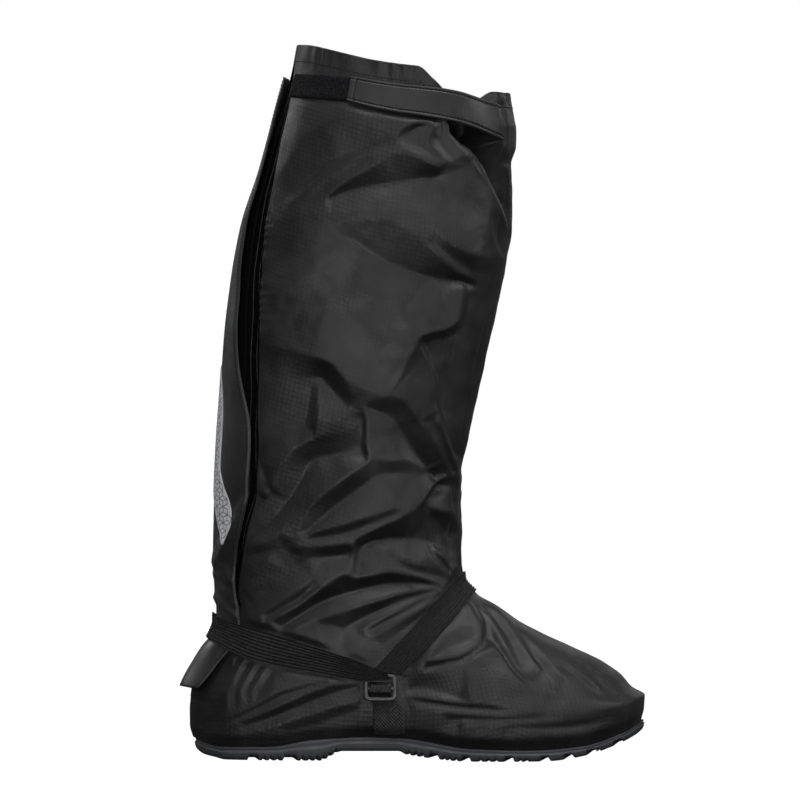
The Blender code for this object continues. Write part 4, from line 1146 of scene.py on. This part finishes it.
def ripstop_finish(name, dark, light, rough, grid_share=1.0):
    """Satin coated cloth, with a fine square grid of thicker threads where grid_share isn't 0."""
    made = new_finish(name, {"IOR": 1.45, "Sheen Weight": 0.04})
    across, upward = weave_axes(made, RIPSTOP_TURN)
    lines = [cord_lines(made, axis, RIPSTOP_PITCH, CORD_SHARE) for axis in (across, upward)]
    fine = [cord_lines(made, axis, RIPSTOP_PITCH / 2, CORD_SHARE) for axis in (across, upward)]
    fine = math_node(made, "MULTIPLY", math_node(made, "MAXIMUM", *fine), FINE_CORDS)
    patchy = between(made, noise_node(made, scale=14, detail=2), low=0.15, high=1.0)
    cords = math_node(made, "MULTIPLY", math_node(made, "MAXIMUM", *lines), patchy)
    grid = math_node(made, "MAXIMUM", cords, math_node(made, "MULTIPLY", fine, patchy))
    cloudy = noise_node(made, scale=22, detail=3)
    tint(made, math_node(made, "MULTIPLY_ADD", grid, -0.25 * grid_share, cloudy), dark, light)
    uneven = between(made, noise_node(made, scale=60, detail=3), low=rough - 0.05, high=rough + 0.07)
    link_input(made, "Roughness", math_node(made, "MULTIPLY_ADD", grid, 0.12 * grid_share, uneven))
    relief = raise_by(made, noise_node(made, scale=140, detail=4), distance=0.6 * MM, strength=0.5)
    grain = noise_node(made, scale=1600, detail=2)
    relief = raise_by(made, grain, distance=0.10 * MM, strength=0.5, below=relief)
    raise_by(made, cords, distance=0.1 * MM, strength=0.6 * grid_share, below=relief)
    return made


def woven_finish(name, dark, light, rough, pitch, turn, depth, gloss=0.5):
    """Matt woven tape: twill lines across the weave."""
    made = new_finish(name, {"IOR": 1.4, "Specular IOR Level": gloss})
    across, upward = weave_axes(made, turn)
    twill = cord_lines(made, upward, pitch, share=0.45)
    cross = cord_lines(made, across, pitch * 1.6, share=0.3)
    tint(made, noise_node(made, scale=300, detail=3), dark, light)
    set_roughness(made, noise_node(made, scale=500, detail=2), low=rough - 0.08, high=rough + 0.08)
    relief = raise_by(made, twill, distance=depth, strength=0.9)
    raise_by(made, cross, distance=depth * 0.5, strength=0.7, below=relief)
    return made


def pile_finish(name, dark, light):
    """Looped nylon pile."""
    made = new_finish(name, {"IOR": 1.3, "Specular IOR Level": 0.15})
    fuzz = noise_node(made, scale=900, detail=5)
    tint(made, fuzz, dark, light)
    set_roughness(made, fuzz, low=0.85, high=0.98)
    raise_by(made, fuzz, distance=0.9 * MM, strength=1.0)
    return made


def rubber_finish(name):
    """Moulded grey rubber, dull and a little uneven."""
    made = new_finish(name, {"IOR": 1.5})
    tint(made, noise_node(made, scale=70, detail=4), (0.036, 0.037, 0.042), (0.050, 0.051, 0.057))
    set_roughness(made, noise_node(made, scale=120, detail=3), low=0.5, high=0.68)
    relief = raise_by(made, noise_node(made, scale=260, detail=3), distance=0.25 * MM, strength=0.4)
    raise_by(made, noise_node(made, scale=1800, detail=2), distance=0.12 * MM, strength=0.5, below=relief)
    return made


def plastic_finish(name):
    """Moulded acetal with a fine grain."""
    made = new_finish(name, {"IOR": 1.48})
    tint(made, noise_node(made, scale=150, detail=3), (0.034, 0.034, 0.036), (0.052, 0.052, 0.055))
    set_roughness(made, noise_node(made, scale=400, detail=2), low=0.28, high=0.42)
    raise_by(made, noise_node(made, scale=1200, detail=2), distance=0.08 * MM, strength=0.5)
    return made


def film_finish(name):
    """Grey reflective film: glass beads under a dull clear layer."""
    made = new_finish(name, {"Metallic": 0.25, "IOR": 1.5, "Coat Weight": 0.2, "Coat Roughness": 0.3})
    beads = noise_node(made, scale=2400, detail=1)
    tint(made, noise_node(made, scale=90, detail=3), (0.50, 0.51, 0.53), (0.62, 0.63, 0.65))
    set_roughness(made, beads, low=0.4, high=0.6)
    raise_by(made, beads, distance=0.06 * MM, strength=0.5)
    return made


# The pieces
def slit_edge(height):
    """Angle of the side panel's rear edge."""
    return column(ZIP_PATH, "height", "edge", np.asarray(height) / MM)


def slit_width(height):
    """Angle that the slit takes up."""
    return SLIT_ANGLE * (1 - (1 - SLIT_TOP_SHARE) * eased((height - SLIT_NARROWS) / (COLLAR - SLIT_NARROWS)))


def upper_sheet(angles, heights, lift, left_out=None):
    """The creased wall as an open sheet, with its lowest edge tucked in at the sole."""
    points = creased(angles, heights[:, None], lift)
    tucked = skin(angles[0], JOINT, lift - TUCK_IN) - np.array([0, 0, TUCK_DOWN])
    points = np.concatenate([tucked[None], points])
    flat = surface(np.concatenate([angles[:1], angles]), np.concatenate([heights[:1], heights])[:, None])
    faces = grid_faces(*points.shape[:2])
    if left_out is not None:
        slit = np.concatenate([[False], heights >= SLIT_FOOT])[:-1]
        kept = np.ones(faces.shape[:2], bool)
        kept[:, left_out] = ~slit
        faces = faces[kept]
    return Part(points.reshape(-1, 3), faces.reshape(-1, 4), weave_of(flat).reshape(-1, 2))


def outer_angles(heights, columns):
    """Angles from the side panel's rear edge to the toe, a row for each height."""
    edge = slit_edge(heights)[:, None]
    return edge + np.linspace(0, 1, columns)[None, :] * (180 - edge)


def inner_angles(heights, columns, panel_columns):
    """Angles from the toe round the inner side, the rear panel and the slit."""
    edge = slit_edge(heights)[:, None]
    side = np.broadcast_to(np.linspace(180, 360, columns)[None, :], (len(heights), columns))
    panel = 360 + np.linspace(0, 1, panel_columns)[None, 1:] * (edge - slit_width(heights)[:, None])
    return np.concatenate([side, panel, 360 + edge], axis=1)


def make_upper(fabric, tape_and_painted_shade):
    """The outer side, and the inner side with the rear panel up to the slit."""
    heights = np.linspace(JOINT, COLLAR, UPPER_ROWS)
    outer = upper_sheet(outer_angles(heights, OUTER_COLUMNS), heights, 0.0)
    add_piece("upper_outer_side", [outer], fabric, ["upper"], False)
    columns = INNER_COLUMNS + PANEL_COLUMNS
    inner = upper_sheet(inner_angles(heights, INNER_COLUMNS, PANEL_COLUMNS), heights, 0.0, columns - 2)
    rest = add_piece("upper_inner_side", [inner], fabric, closed=False)
    # The second finish is painted shade: near-black tape finish laid on the rear panel behind the flap
    rest.data.materials.append(tape_and_painted_shade)
    corner = inner.faces[:, 0]
    level = np.concatenate([heights[:1], heights])[corner // columns]
    # Painted shade: the rear panel's faces behind the flap take the near-black tape finish, for the dark gap
    # under the flap
    behind_flap = (level > SLIT_FOOT) & (level < FLAP_ROWS[0].height * MM)
    rear = (corner % columns >= INNER_COLUMNS - 1) & behind_flap
    rest.data.polygons.foreach_set("material_index", rear.astype(np.int32))


def make_lining(lining):
    heights = np.linspace(JOINT, COLLAR, LINING_ROWS)
    outer = outer_angles(heights, LINING_OUTER_COLUMNS)[:, :-1]
    inner = inner_angles(heights, LINING_INNER_COLUMNS, LINING_PANEL_COLUMNS)
    angles = np.concatenate([outer, inner], axis=1)
    inside = upper_sheet(angles, heights, -WALL, angles.shape[1] - 2)
    inside = inside._replace(faces=inside.faces[:, ::-1])
    add_piece("upper_lining", [inside], lining, closed=False)


def make_edges(plain, thread, tape_and_painted_shade):
    """The collar's rim, the slit's bindings and the hem's stitches."""
    edge = float(slit_edge(COLLAR))
    far_edge = 360 + edge - float(slit_width(COLLAR))
    collar = np.linspace(edge, far_edge, COLLAR_STEPS)
    rim = tube(creased(collar, COLLAR, -WALL / 2), normals(collar, COLLAR), COLLAR_RIM, COLLAR_RIM)
    add_piece("collar_rim", [rim], plain)
    heights = np.linspace(SLIT_FOOT, COLLAR, SLIT_STEPS)
    bindings = []
    for angle in (slit_edge(heights), slit_edge(heights) - slit_width(heights)):
        line = creased(angle, heights, -WALL / 2)
        bindings.append(tube(line, normals(angle, heights), BINDING_ACROSS, BINDING_OUT))
    add_piece("edge_binding", bindings, tape_and_painted_shade)
    hem = np.linspace(edge + HEM_STITCH_INSET, far_edge - HEM_STITCH_INSET, HEM_STEPS)
    rows = stitches(lambda lift: creased(hem, COLLAR - HEM_DEPTH, lift))
    add_piece("upper_stitches", rows, thread)


def flap_lift(angle, height):
    """How far the flap's inner face stands off the upper."""
    level = height / MM
    inner_edge, outer_edge = side_edges(FLAP_ROWS, level)
    middle = column(FLAP_ROWS, "height", "middle_lift", level) * MM
    outer = column(FLAP_ROWS, "height", "outer_lift", level) * MM
    sewn = np.minimum(middle, 2 * GAP)
    to_free = middle + (outer - middle) * eased(angle / outer_edge)
    to_sewn = middle + (sewn - middle) * eased(angle / inner_edge)
    return np.where(angle > 0, to_free, to_sewn)


def flap_point(angle, height, lift=0.0):
    """Points off the flap's inner face, which waves gently towards its free edge."""
    level = height / MM
    free = eased(angle / column(FLAP_ROWS, "height", "outer_edge", level))
    rise = sum(np.sin(level / wave.length + wave.shift) * wave.rise for wave in FLAP_WAVES) * free
    flat = skin(angle, height, flap_lift(angle, height))
    place = flat[..., ::2] / MM
    for crease in FLAP_CREASES:
        start, end = np.array(crease.start), np.array(crease.end)
        along = np.clip((place - start) @ (end - start) / np.sum((end - start) ** 2), 0, 1)
        off = np.linalg.norm(place - start - along[..., None] * (end - start), axis=-1)
        rise = np.maximum(rise, crease.rise * (1 - off / crease.half))
    return flat + normals(angle, height) * (lift + rise * MM)[..., None]


def between_edges(table, heights, across):
    """Angles across a piece, from its inner edge at -1 to its outer edge at 1."""
    inner, outer = side_edges(table, heights[:, None] / MM)
    return inner + (outer - inner) * (across[None, :] + 1) / 2


def make_flap(fabric, film, line, thread):
    heights = np.linspace(FLAP_ROWS[-1].height, FLAP_ROWS[0].height, FLAP_STEPS) * MM
    across = np.linspace(-1, 1, FLAP_COLUMNS)
    angles = between_edges(FLAP_ROWS, heights, across)
    thick = FLAP * crowned(across, FLAP_EDGE)[None, :]
    top = flap_point(angles, heights[:, None], thick)
    bottom = flap_point(angles, heights[:, None])
    add_piece("storm_flap", [slab(top, bottom)], fabric, ["rear_flap"])
    rows = []
    for name, inset in FLAP_STITCH_INSETS.items():
        edge = column(FLAP_ROWS, "height", name, heights / MM) + inset
        rows += stitches(lambda lift: flap_point(edge, heights, FLAP + lift))
    add_piece("flap_stitches", rows, thread)
    make_reflective_strip(film, line)


def strip_point(angle, height, lift):
    """Points off the film's inner face."""
    return flap_point(angle, height, FLAP + FILM_GAP + lift)


def make_reflective_strip(film, line):
    """Reflective film printed with a lattice of dark lozenges."""
    heights = np.linspace(STRIP_ROWS[-1].height, STRIP_ROWS[0].height, STRIP_STEPS) * MM
    across = np.linspace(-1, 1, STRIP_COLUMNS)
    angles = between_edges(STRIP_ROWS, heights, across)
    top = strip_point(angles, heights[:, None], FILM)
    bottom = strip_point(angles, heights[:, None], 0.0)
    add_piece("reflective_panel", [slab(top, bottom)], film, ["reflective_strip"])
    add_piece("reflective_lines", lozenge_lines(), line)


def on_strip(angle, level):
    """Whether a whole line lies on the film."""
    inner, outer = side_edges(STRIP_ROWS, level)
    low, high = STRIP_ROWS[-1].height, STRIP_ROWS[0].height
    return ((angle >= inner) & (angle <= outer) & (level >= low) & (level <= high)).all()


def lozenge_lines():
    """Hexagons split into three lozenges each, as thin bars on the film."""
    parts = []
    wide, tall = LOZENGE_SIDE * np.sqrt(3), LOZENGE_SIDE * 1.5
    low, high = STRIP_ROWS[-1].height, STRIP_ROWS[0].height
    turns = np.radians(np.arange(0, 360, 60))
    corners = [np.array([np.sin(turn), np.cos(turn)]) * LOZENGE_SIDE for turn in turns]
    dot_end = np.array([0, LOZENGE_DOT_HALF])
    share = np.linspace(0, 1, LOZENGE_STEPS)[:, None]
    for i in range(int((high - low) / tall) + 2):
        for j in range(-LOZENGE_REACH, LOZENGE_REACH + 1):
            centre = np.array([(j + 0.5 * (i % 2)) * wide, low + i * tall])
            spokes = [(centre, centre + corner, LOZENGE_LINE) for corner in corners[::2]]
            sides = [(centre + corners[k], centre + corners[k + 1], LOZENGE_LINE) for k in range(3)]
            dot = (centre - dot_end, centre + dot_end, LOZENGE_DOT)
            for start, end, half in [*spokes, *sides, dot]:
                line = start * (1 - share) + end * share
                angle, level = line[:, 0] * DEGREES_PER_MM, line[:, 1]
                if not on_strip(angle, level):
                    continue
                path = strip_point(angle, level * MM, FILM)
                out = unit(strip_point(angle, level * MM, FILM + MM) - path)
                parts.append(tube(path, out, half, LOZENGE_RISE, sides=4))
    return parts


def make_zip(tape_and_painted_shade, cord):
    """Tape behind the slit, a row of teeth along it and a cord on each side of them."""
    heights = np.linspace(SLIT_FOOT + ZIP_FOOT, ZIP_TOP, ZIP_STEPS)
    margin = np.linspace(-ZIP_MARGIN, ZIP_MARGIN, ZIP_COLUMNS)[None, :]
    offsets = margin - slit_width(heights)[:, None] * np.linspace(1, 0, ZIP_COLUMNS)[None, :]
    angles = slit_edge(heights)[:, None] + offsets
    behind = -(WALL + 4 * GAP + TAPE)
    top = skin(angles, heights[:, None], behind + TAPE)
    bottom = skin(angles, heights[:, None], behind)
    add_piece("zip_tape", [slab(top, bottom)], tape_and_painted_shade, ["rear_zip"])
    teeth = []
    coil = -SLIT_ANGLE * TEETH_PLACE
    first, last = SLIT_FOOT + TEETH_FOOT, ZIP_TOP - TEETH_STOP
    for height in np.arange(first, last, TOOTH_PITCH):
        middle = float(slit_edge(height)) + coil
        angle = middle + np.linspace(-TOOTH_REACH, TOOTH_REACH, 5)
        rise = behind + TAPE + TOOTH_RISE * bell((angle - middle) / TOOTH_CROWN)
        line = skin(angle, height, rise)
        teeth.append(tube(line, normals(angle, height), TOOTH_ACROSS, TOOTH_OUT, sides=6))
    add_piece("zip_teeth", teeth, tape_and_painted_shade)
    heights = np.linspace(first, last, ZIP_CORD_STEPS)
    cords = []
    for offset in ZIP_CORD_ANGLES:
        wave = ZIP_CORD_WAVE * np.sin(heights / MM / ZIP_CORD_WAVE_LENGTH)
        angle = slit_edge(heights) + coil + offset + wave
        line = skin(angle, heights, behind + TAPE + ZIP_CORD_LIFT)
        cords.append(tube(line, normals(angle, heights), ZIP_CORD, ZIP_CORD, sides=6))
    add_piece("zip_cords", cords, cord)


def on_band(table, angles, across, lift):
    """Points off the plain surface in a band that a table gives by its edges."""
    low, high = [edge * MM for edge in band_edges(table, angles)]
    return skin(angles, mean_height(angles, low + (high - low) * (across + 1) / 2), lift, False)


def make_loop_patch(pile):
    across = np.linspace(-1, 1, PATCH_COLUMNS)[:, None]
    angles = np.linspace(PATCH_BAND[0].angle, PATCH_BAND[-1].angle, PATCH_STEPS)
    top = on_band(PATCH_BAND, angles, across, GAP + LOOP_PILE * crowned(across, PATCH_EDGE))
    bottom = on_band(PATCH_BAND, angles, across, 0.5 * GAP)
    add_piece("loop_pile", [slab(top, bottom)], pile, ["loop_patch"])


def make_cuff(fabric, thread):
    """The cuff strap, sewn down at the overshoe's front, with seams sunk along its edges."""
    first, last = CUFF_BAND[0].angle, CUFF_BAND[-1].angle
    end_seam = first + CUFF_END_SEAM_ANGLE

    def lift_at(angle):
        to_front = eased((angle - last + CUFF_FRONT_ANGLE) / CUFF_FRONT_ANGLE)
        return CUFF_LIFT * (1 - CUFF_FRONT_DROP * to_front)

    angles = np.linspace(first, last, CUFF_STEPS)
    across = np.linspace(-1, 1, CUFF_COLUMNS)[:, None]
    at_edges = bell((np.abs(across) - CUFF_SEAM) / CUFF_SEAM_HALF)
    sunk = at_edges + bell((angles - end_seam) / CUFF_END_SEAM_HALF)
    flat = on_band(CUFF_BAND, angles, across, lift_at(angles))
    uneven = CUFF_UNEVEN * crumple(flat) * (1 - across ** 2)
    thick = CUFF * (crowned(across, CUFF_EDGE) - CUFF_SEAM_DEPTH * np.minimum(sunk, 1))
    top = on_band(CUFF_BAND, angles, across, lift_at(angles) + thick + uneven)
    add_piece("cuff_tab", [slab(top, flat)], fabric, ["cuff_strap"])

    def on_strap(angle, share):
        return lambda lift: on_band(CUFF_BAND, angle, share, lift_at(angle) + CUFF_STITCH_LIFT * CUFF + lift)

    run = np.linspace(end_seam, last, CUFF_STITCH_STEPS)
    rows = stitches(on_strap(run, -CUFF_SEAM)) + stitches(on_strap(run, CUFF_SEAM))
    end = np.linspace(-CUFF_SEAM, CUFF_SEAM, CUFF_END_STITCH_STEPS)
    rows += stitches(on_strap(end_seam + 0 * end, end))
    rows += stitches(on_strap(CUFF_FRONT_SEAM + CUFF_FRONT_SLANT * end, end))
    add_piece("cuff_stitches", rows, thread)


def ankle_lift(angle):
    """How far the ankle band stands off the upper, over what lies below it."""
    side = np.abs(angle)
    over_flap = OVER_FLAP * (1 - eased((side - FLAP_REACH_ANGLE) / FLAP_STEP_ANGLE))
    over_buckle = OVER_BUCKLE * eased((side - BUCKLE_CLIMB_ANGLE) / CLIMB_REACH)
    over_instep = OVER_INSTEP * eased((side - INSTEP_CLIMB_ANGLE) / CLIMB_REACH)
    return 2 * GAP + over_flap + np.where(angle > 0, over_buckle, over_instep)


def make_band(name, angles, heights, lift, finish, node):
    """Elastic band with ribs along it, from its lower edge in the first row to its upper edge."""
    ribs = RIB_MEAN + RIB_DEPTH * np.cos(np.pi * RIBS * (BAND_ACROSS + 1))
    top = skin(angles, heights, lift + ELASTIC * ribs)
    bottom = skin(angles, heights, lift + 0 * ribs)
    add_piece(name, [slab(top, bottom)], finish, [node])


def make_ankle_band(finish):
    end = ANKLE_BAND[-1].angle
    angles = np.linspace(-end, end, ANKLE_STEPS)
    low, high = [edge * MM for edge in band_edges(ANKLE_BAND, np.abs(angles))]
    heights = (low + high) / 2 + (high - low) / 2 * BAND_ACROSS
    make_band("ankle_band", angles + 0 * heights, heights, ankle_lift(angles), finish, "ankle_elastic")


def make_instep_band(finish):
    """The band from its outer end over the overshoe's front to its inner end."""
    share = (BAND_ACROSS + 1) / 2
    places = [low + (high - low) * share for low, high in zip(INSTEP_LOW, INSTEP_HIGH)]
    end_along, end_height, front_height = places
    run = 1 - np.linspace(1, 0, INSTEP_STEPS) ** 2
    heights = (end_height + (front_height - end_height) * run) * MM
    front = column(UPPER_SECTIONS, "height", "front", front_height)
    angles = angle_at(end_along + (front - end_along) * run, heights / MM)
    angles = np.concatenate([angles, 360 - angles[:, -2::-1]], axis=1)
    heights = np.concatenate([heights, heights[:, -2::-1]], axis=1)
    make_band("instep_band", angles, heights, 2 * GAP, finish, "instep_elastic")


def make_tab(name, table, finish, node):
    """Web tab sewn in at the sole and folded over its buckle or loop."""
    levels = np.linspace(table[0].height, table[-1].height, TAB_STEPS)[:, None]
    across = np.linspace(-1, 1, TAB_COLUMNS)[None, :]
    angle = column(table, "height", "angle", levels) + column(table, "height", "half_angle", levels) * across
    lift = column(table, "height", "lift", levels) * MM
    top = skin(angle, levels * MM, lift + WEB * crowned(across))
    bottom = skin(angle, levels * MM, lift)
    add_piece(name, [slab(top, bottom)], finish, [node])


def make_buckle(finish):
    """A three-bar slide standing off the upper."""
    centre = skin(BUCKLE_ANGLE, BUCKLE_HEIGHT, BUCKLE_LIFT + BUCKLE_DEPTH / 2)
    outward = unit(normals(BUCKLE_ANGLE, BUCKLE_HEIGHT))
    across = np.array([1.0, 0, 0])
    across = unit(across - outward * (across @ outward))
    upward = np.cross(outward, across)
    turn = np.linspace(0, 2 * np.pi, BUCKLE_STEPS + 1)[:-1]
    half_wide, half_tall = (BUCKLE_WIDTH - BUCKLE_BAR) / 2, (BUCKLE_TALL - BUCKLE_BAR) / 2
    wide = squared(np.cos(turn), BUCKLE_CORNER) * half_wide
    tall = squared(np.sin(turn), BUCKLE_CORNER) * half_tall
    rim = centre + wide[:, None] * across + tall[:, None] * upward
    ring = tube(rim, outward, BUCKLE_BAR / 2, BUCKLE_DEPTH / 2, closed=True, sides=16,
                squareness=BUCKLE_SQUARENESS)
    line = centre + np.linspace(-half_wide, half_wide, BUCKLE_BAR_STEPS)[:, None] * across
    bar = tube(line + upward * BUCKLE_MIDDLE, outward, BUCKLE_BAR / 2, BUCKLE_MIDDLE_HALF, sides=12,
               squareness=BUCKLE_SQUARENESS)
    add_piece("slide_buckle", [ring, bar], finish, ["buckle"])


def tread_rise(x, y):
    """How far the underside is cut up by grooves and slots, at places in millimetres."""
    rise = np.zeros(np.broadcast(x, y).shape)
    side = np.abs(y)
    beyond_spine = eased((side - SPINE_HALF) / SPINE_EASE + 0.5)
    for groove in GROOVES:
        middle = groove.along + np.tan(np.radians(groove.slant)) * (side - RIM_HALF)
        inside = eased((groove.width / 2 - np.abs(x - middle)) / GROOVE_EASE + 0.5)
        rise = np.maximum(rise, GROOVE_DEPTH * inside * beyond_spine)
    slant = np.tan(np.radians(SLOT_SLANT))
    for slot in SLOTS:
        middle = slot + np.where(slot < SLOT_TURN, slant, -slant) * (side - RIM_HALF)
        inside = eased((SLOT_WIDTH / 2 - np.abs(x - middle)) / SLOT_EASE + 0.5)
        rise = np.maximum(rise, SLOT_DEPTH * inside * eased((side - SLOT_START) / SLOT_START_EASE))
    return rise


def make_sole(finish):
    """The sole's side rings, closed by a lugged tread and a foot bed that run straight across."""
    half_turn = np.linspace(0, 180, SOLE_SPANS + 1)
    angles = np.concatenate([half_turn, 360 - half_turn[-2:0:-1]])
    shares = np.linspace(0, 1, SOLE_RINGS)[:, None]
    inset = column(SOLE_SIDE, "share", "inset", shares)
    x, y = outline(SOLE_SECTION, angles[None, :], inset)
    underside = column(SOLE_UNDERSIDE, "along", "height", x / MM) * MM
    low = underside + tread_rise(x / MM, y / MM) * (1 - eased(shares / SLOT_TOP * 0.5))
    high = column(SOLE_TOP, "along", "height", x / MM) * MM
    z = low + (high - low) * shares
    rings = np.stack([x, y, z], axis=-1)
    columns = len(angles)
    parts = [Part(rings.reshape(-1, 3), grid_faces(SOLE_RINGS, columns, closed=True).reshape(-1, 4),
                  np.stack([x, z], axis=-1).reshape(-1, 2))]
    mirror = (-np.arange(SOLE_SPANS + 1)) % columns
    for ring, spans, cut in ((rings[0], TREAD_SPANS, True), (rings[-1], BED_SPANS, False)):
        share = np.linspace(0, 1, spans + 1)[None, :, None]
        sheet = ring[:SOLE_SPANS + 1, None] * (1 - share) + ring[mirror][:, None] * share
        if cut:
            level = column(SOLE_UNDERSIDE, "along", "height", sheet[..., 0] / MM) * MM
            sheet[..., 2] = level + tread_rise(sheet[..., 0] / MM, sheet[..., 1] / MM)
        face = grid_faces(SOLE_SPANS + 1, spans + 1).reshape(-1, 4)
        face = face if cut else face[:, ::-1]
        parts.append(Part(sheet.reshape(-1, 3), face, sheet[..., :2].reshape(-1, 2)))
    sole = add_piece("lugged_sole", parts, finish, ["outsole"], closed=False)
    turn_outward(sole.data, WELD)
    sole.data.set_sharp_from_angle(angle=np.radians(SHARP_ANGLE))


# Stage
def add_floor():
    mesh = bmesh.new()
    bmesh.ops.create_grid(mesh, x_segments=1, y_segments=1, size=FLOOR_HALF)
    data = bpy.data.meshes.new("floor")
    mesh.to_mesh(data)
    mesh.free()
    glow = {"Emission Color": WHITE, "Emission Strength": 1.0}
    base = {"Base Color": (FLOOR_TONE, FLOOR_TONE, FLOOR_TONE, 1), "Roughness": FLOOR_ROUGHNESS}
    made = new_finish("pale_floor", {**base, **glow})
    data.materials.append(made)
    floor = bpy.data.objects.new("floor", data)
    floor.visible_diffuse = False
    floor.visible_glossy = False
    bpy.context.scene.collection.objects.link(floor)


def add_light(light):
    lamp = bpy.data.lights.new(light.name, "AREA")
    lamp.spread = np.radians(light.spread)
    lamp.shape = "RECTANGLE"
    lamp.size, lamp.size_y = light.size
    lamp.energy = light.power
    made = bpy.data.objects.new(light.name, lamp)
    made.location = light.place
    made.rotation_euler = (Vector(light.aim) - Vector(light.place)).to_track_quat("-Z", "Y").to_euler()
    made.visible_glossy = light.glossy
    bpy.context.scene.collection.objects.link(made)


def add_lights():
    world = bpy.data.worlds.new("studio")
    world.use_nodes = True
    background = world.node_tree.nodes["Background"]
    background.inputs["Color"].default_value = WHITE
    background.inputs["Strength"].default_value = 1.0
    world.cycles_visibility.diffuse = False
    world.cycles_visibility.glossy = False
    bpy.context.scene.world = world
    for light in LIGHTS:
        add_light(light)
    bpy.context.scene.view_settings.view_transform = "Standard"


def add_camera():
    data = bpy.data.cameras.new("camera")
    data.lens = LENS
    data.sensor_width = SENSOR
    camera = bpy.data.objects.new("camera", data)
    camera.location = (VIEW_AIM[0], VIEW_AIM[1] - VIEW_DISTANCE, VIEW_AIM[2])
    camera.rotation_euler = (np.pi / 2, 0, 0)
    bpy.context.scene.collection.objects.link(camera)
    bpy.context.scene.camera = camera


def main():
    fabric = ripstop_finish("coated_ripstop", (0.006, 0.006, 0.0065), (0.019, 0.019, 0.0205), 0.44)
    plain = ripstop_finish("plain_fabric", (0.012, 0.012, 0.013), (0.024, 0.024, 0.026), 0.42, 0.0)
    lining = ripstop_finish("lining", (0.02, 0.02, 0.021), (0.03, 0.03, 0.032), 0.6)
    thread = woven_finish("thread", (0.003, 0.003, 0.003), (0.007, 0.007, 0.007), rough=0.8,
                          pitch=0.4 * MM, turn=0.6, depth=0.05 * MM, gloss=0.3)
    elastic = woven_finish("elastic", (0.008, 0.008, 0.009), (0.014, 0.014, 0.015), rough=0.8,
                           pitch=0.7 * MM, turn=0.0, depth=0.12 * MM)
    webbing = woven_finish("webbing", (0.010, 0.010, 0.011), (0.030, 0.030, 0.031), rough=0.7,
                           pitch=1.5 * MM, turn=0.9, depth=0.3 * MM)
    # Zip tape finish, near black and dull: partly the tape's own black, partly painted shade of the gap
    # under the flap, and it also paints the rear panel there as shade
    tape_and_painted_shade = woven_finish("zip_tape", (0.002, 0.002, 0.0022), (0.004, 0.004, 0.0045), rough=0.9,
                        pitch=0.6 * MM, turn=0.0, depth=0.1 * MM, gloss=0.1)
    cord = woven_finish("zip_cord", (0.02, 0.02, 0.021), (0.04, 0.04, 0.042), rough=0.7,
                        pitch=0.6 * MM, turn=0.5, depth=0.05 * MM)
    pile = pile_finish("loop_pile", (0.001, 0.001, 0.0012), (0.022, 0.022, 0.024))
    plastic = plastic_finish("buckle_plastic")
    film = film_finish("reflective_film")
    print_line = plastic_finish("printed_line")
    make_upper(fabric, tape_and_painted_shade)
    make_lining(lining)
    make_edges(plain, thread, tape_and_painted_shade)
    make_flap(plain, film, print_line, thread)
    make_zip(tape_and_painted_shade, cord)
    make_loop_patch(pile)
    make_cuff(plain, thread)
    make_ankle_band(elastic)
    make_instep_band(elastic)
    make_tab("web_tab_front", OUTER_TAB_ROWS, webbing, "web_tab_outer")
    make_tab("web_tab_back", INNER_TAB_ROWS, webbing, "web_tab_inner")
    make_buckle(plastic)
    make_sole(rubber_finish("sole_rubber"))
    add_floor()
    add_lights()
    add_camera()


main()
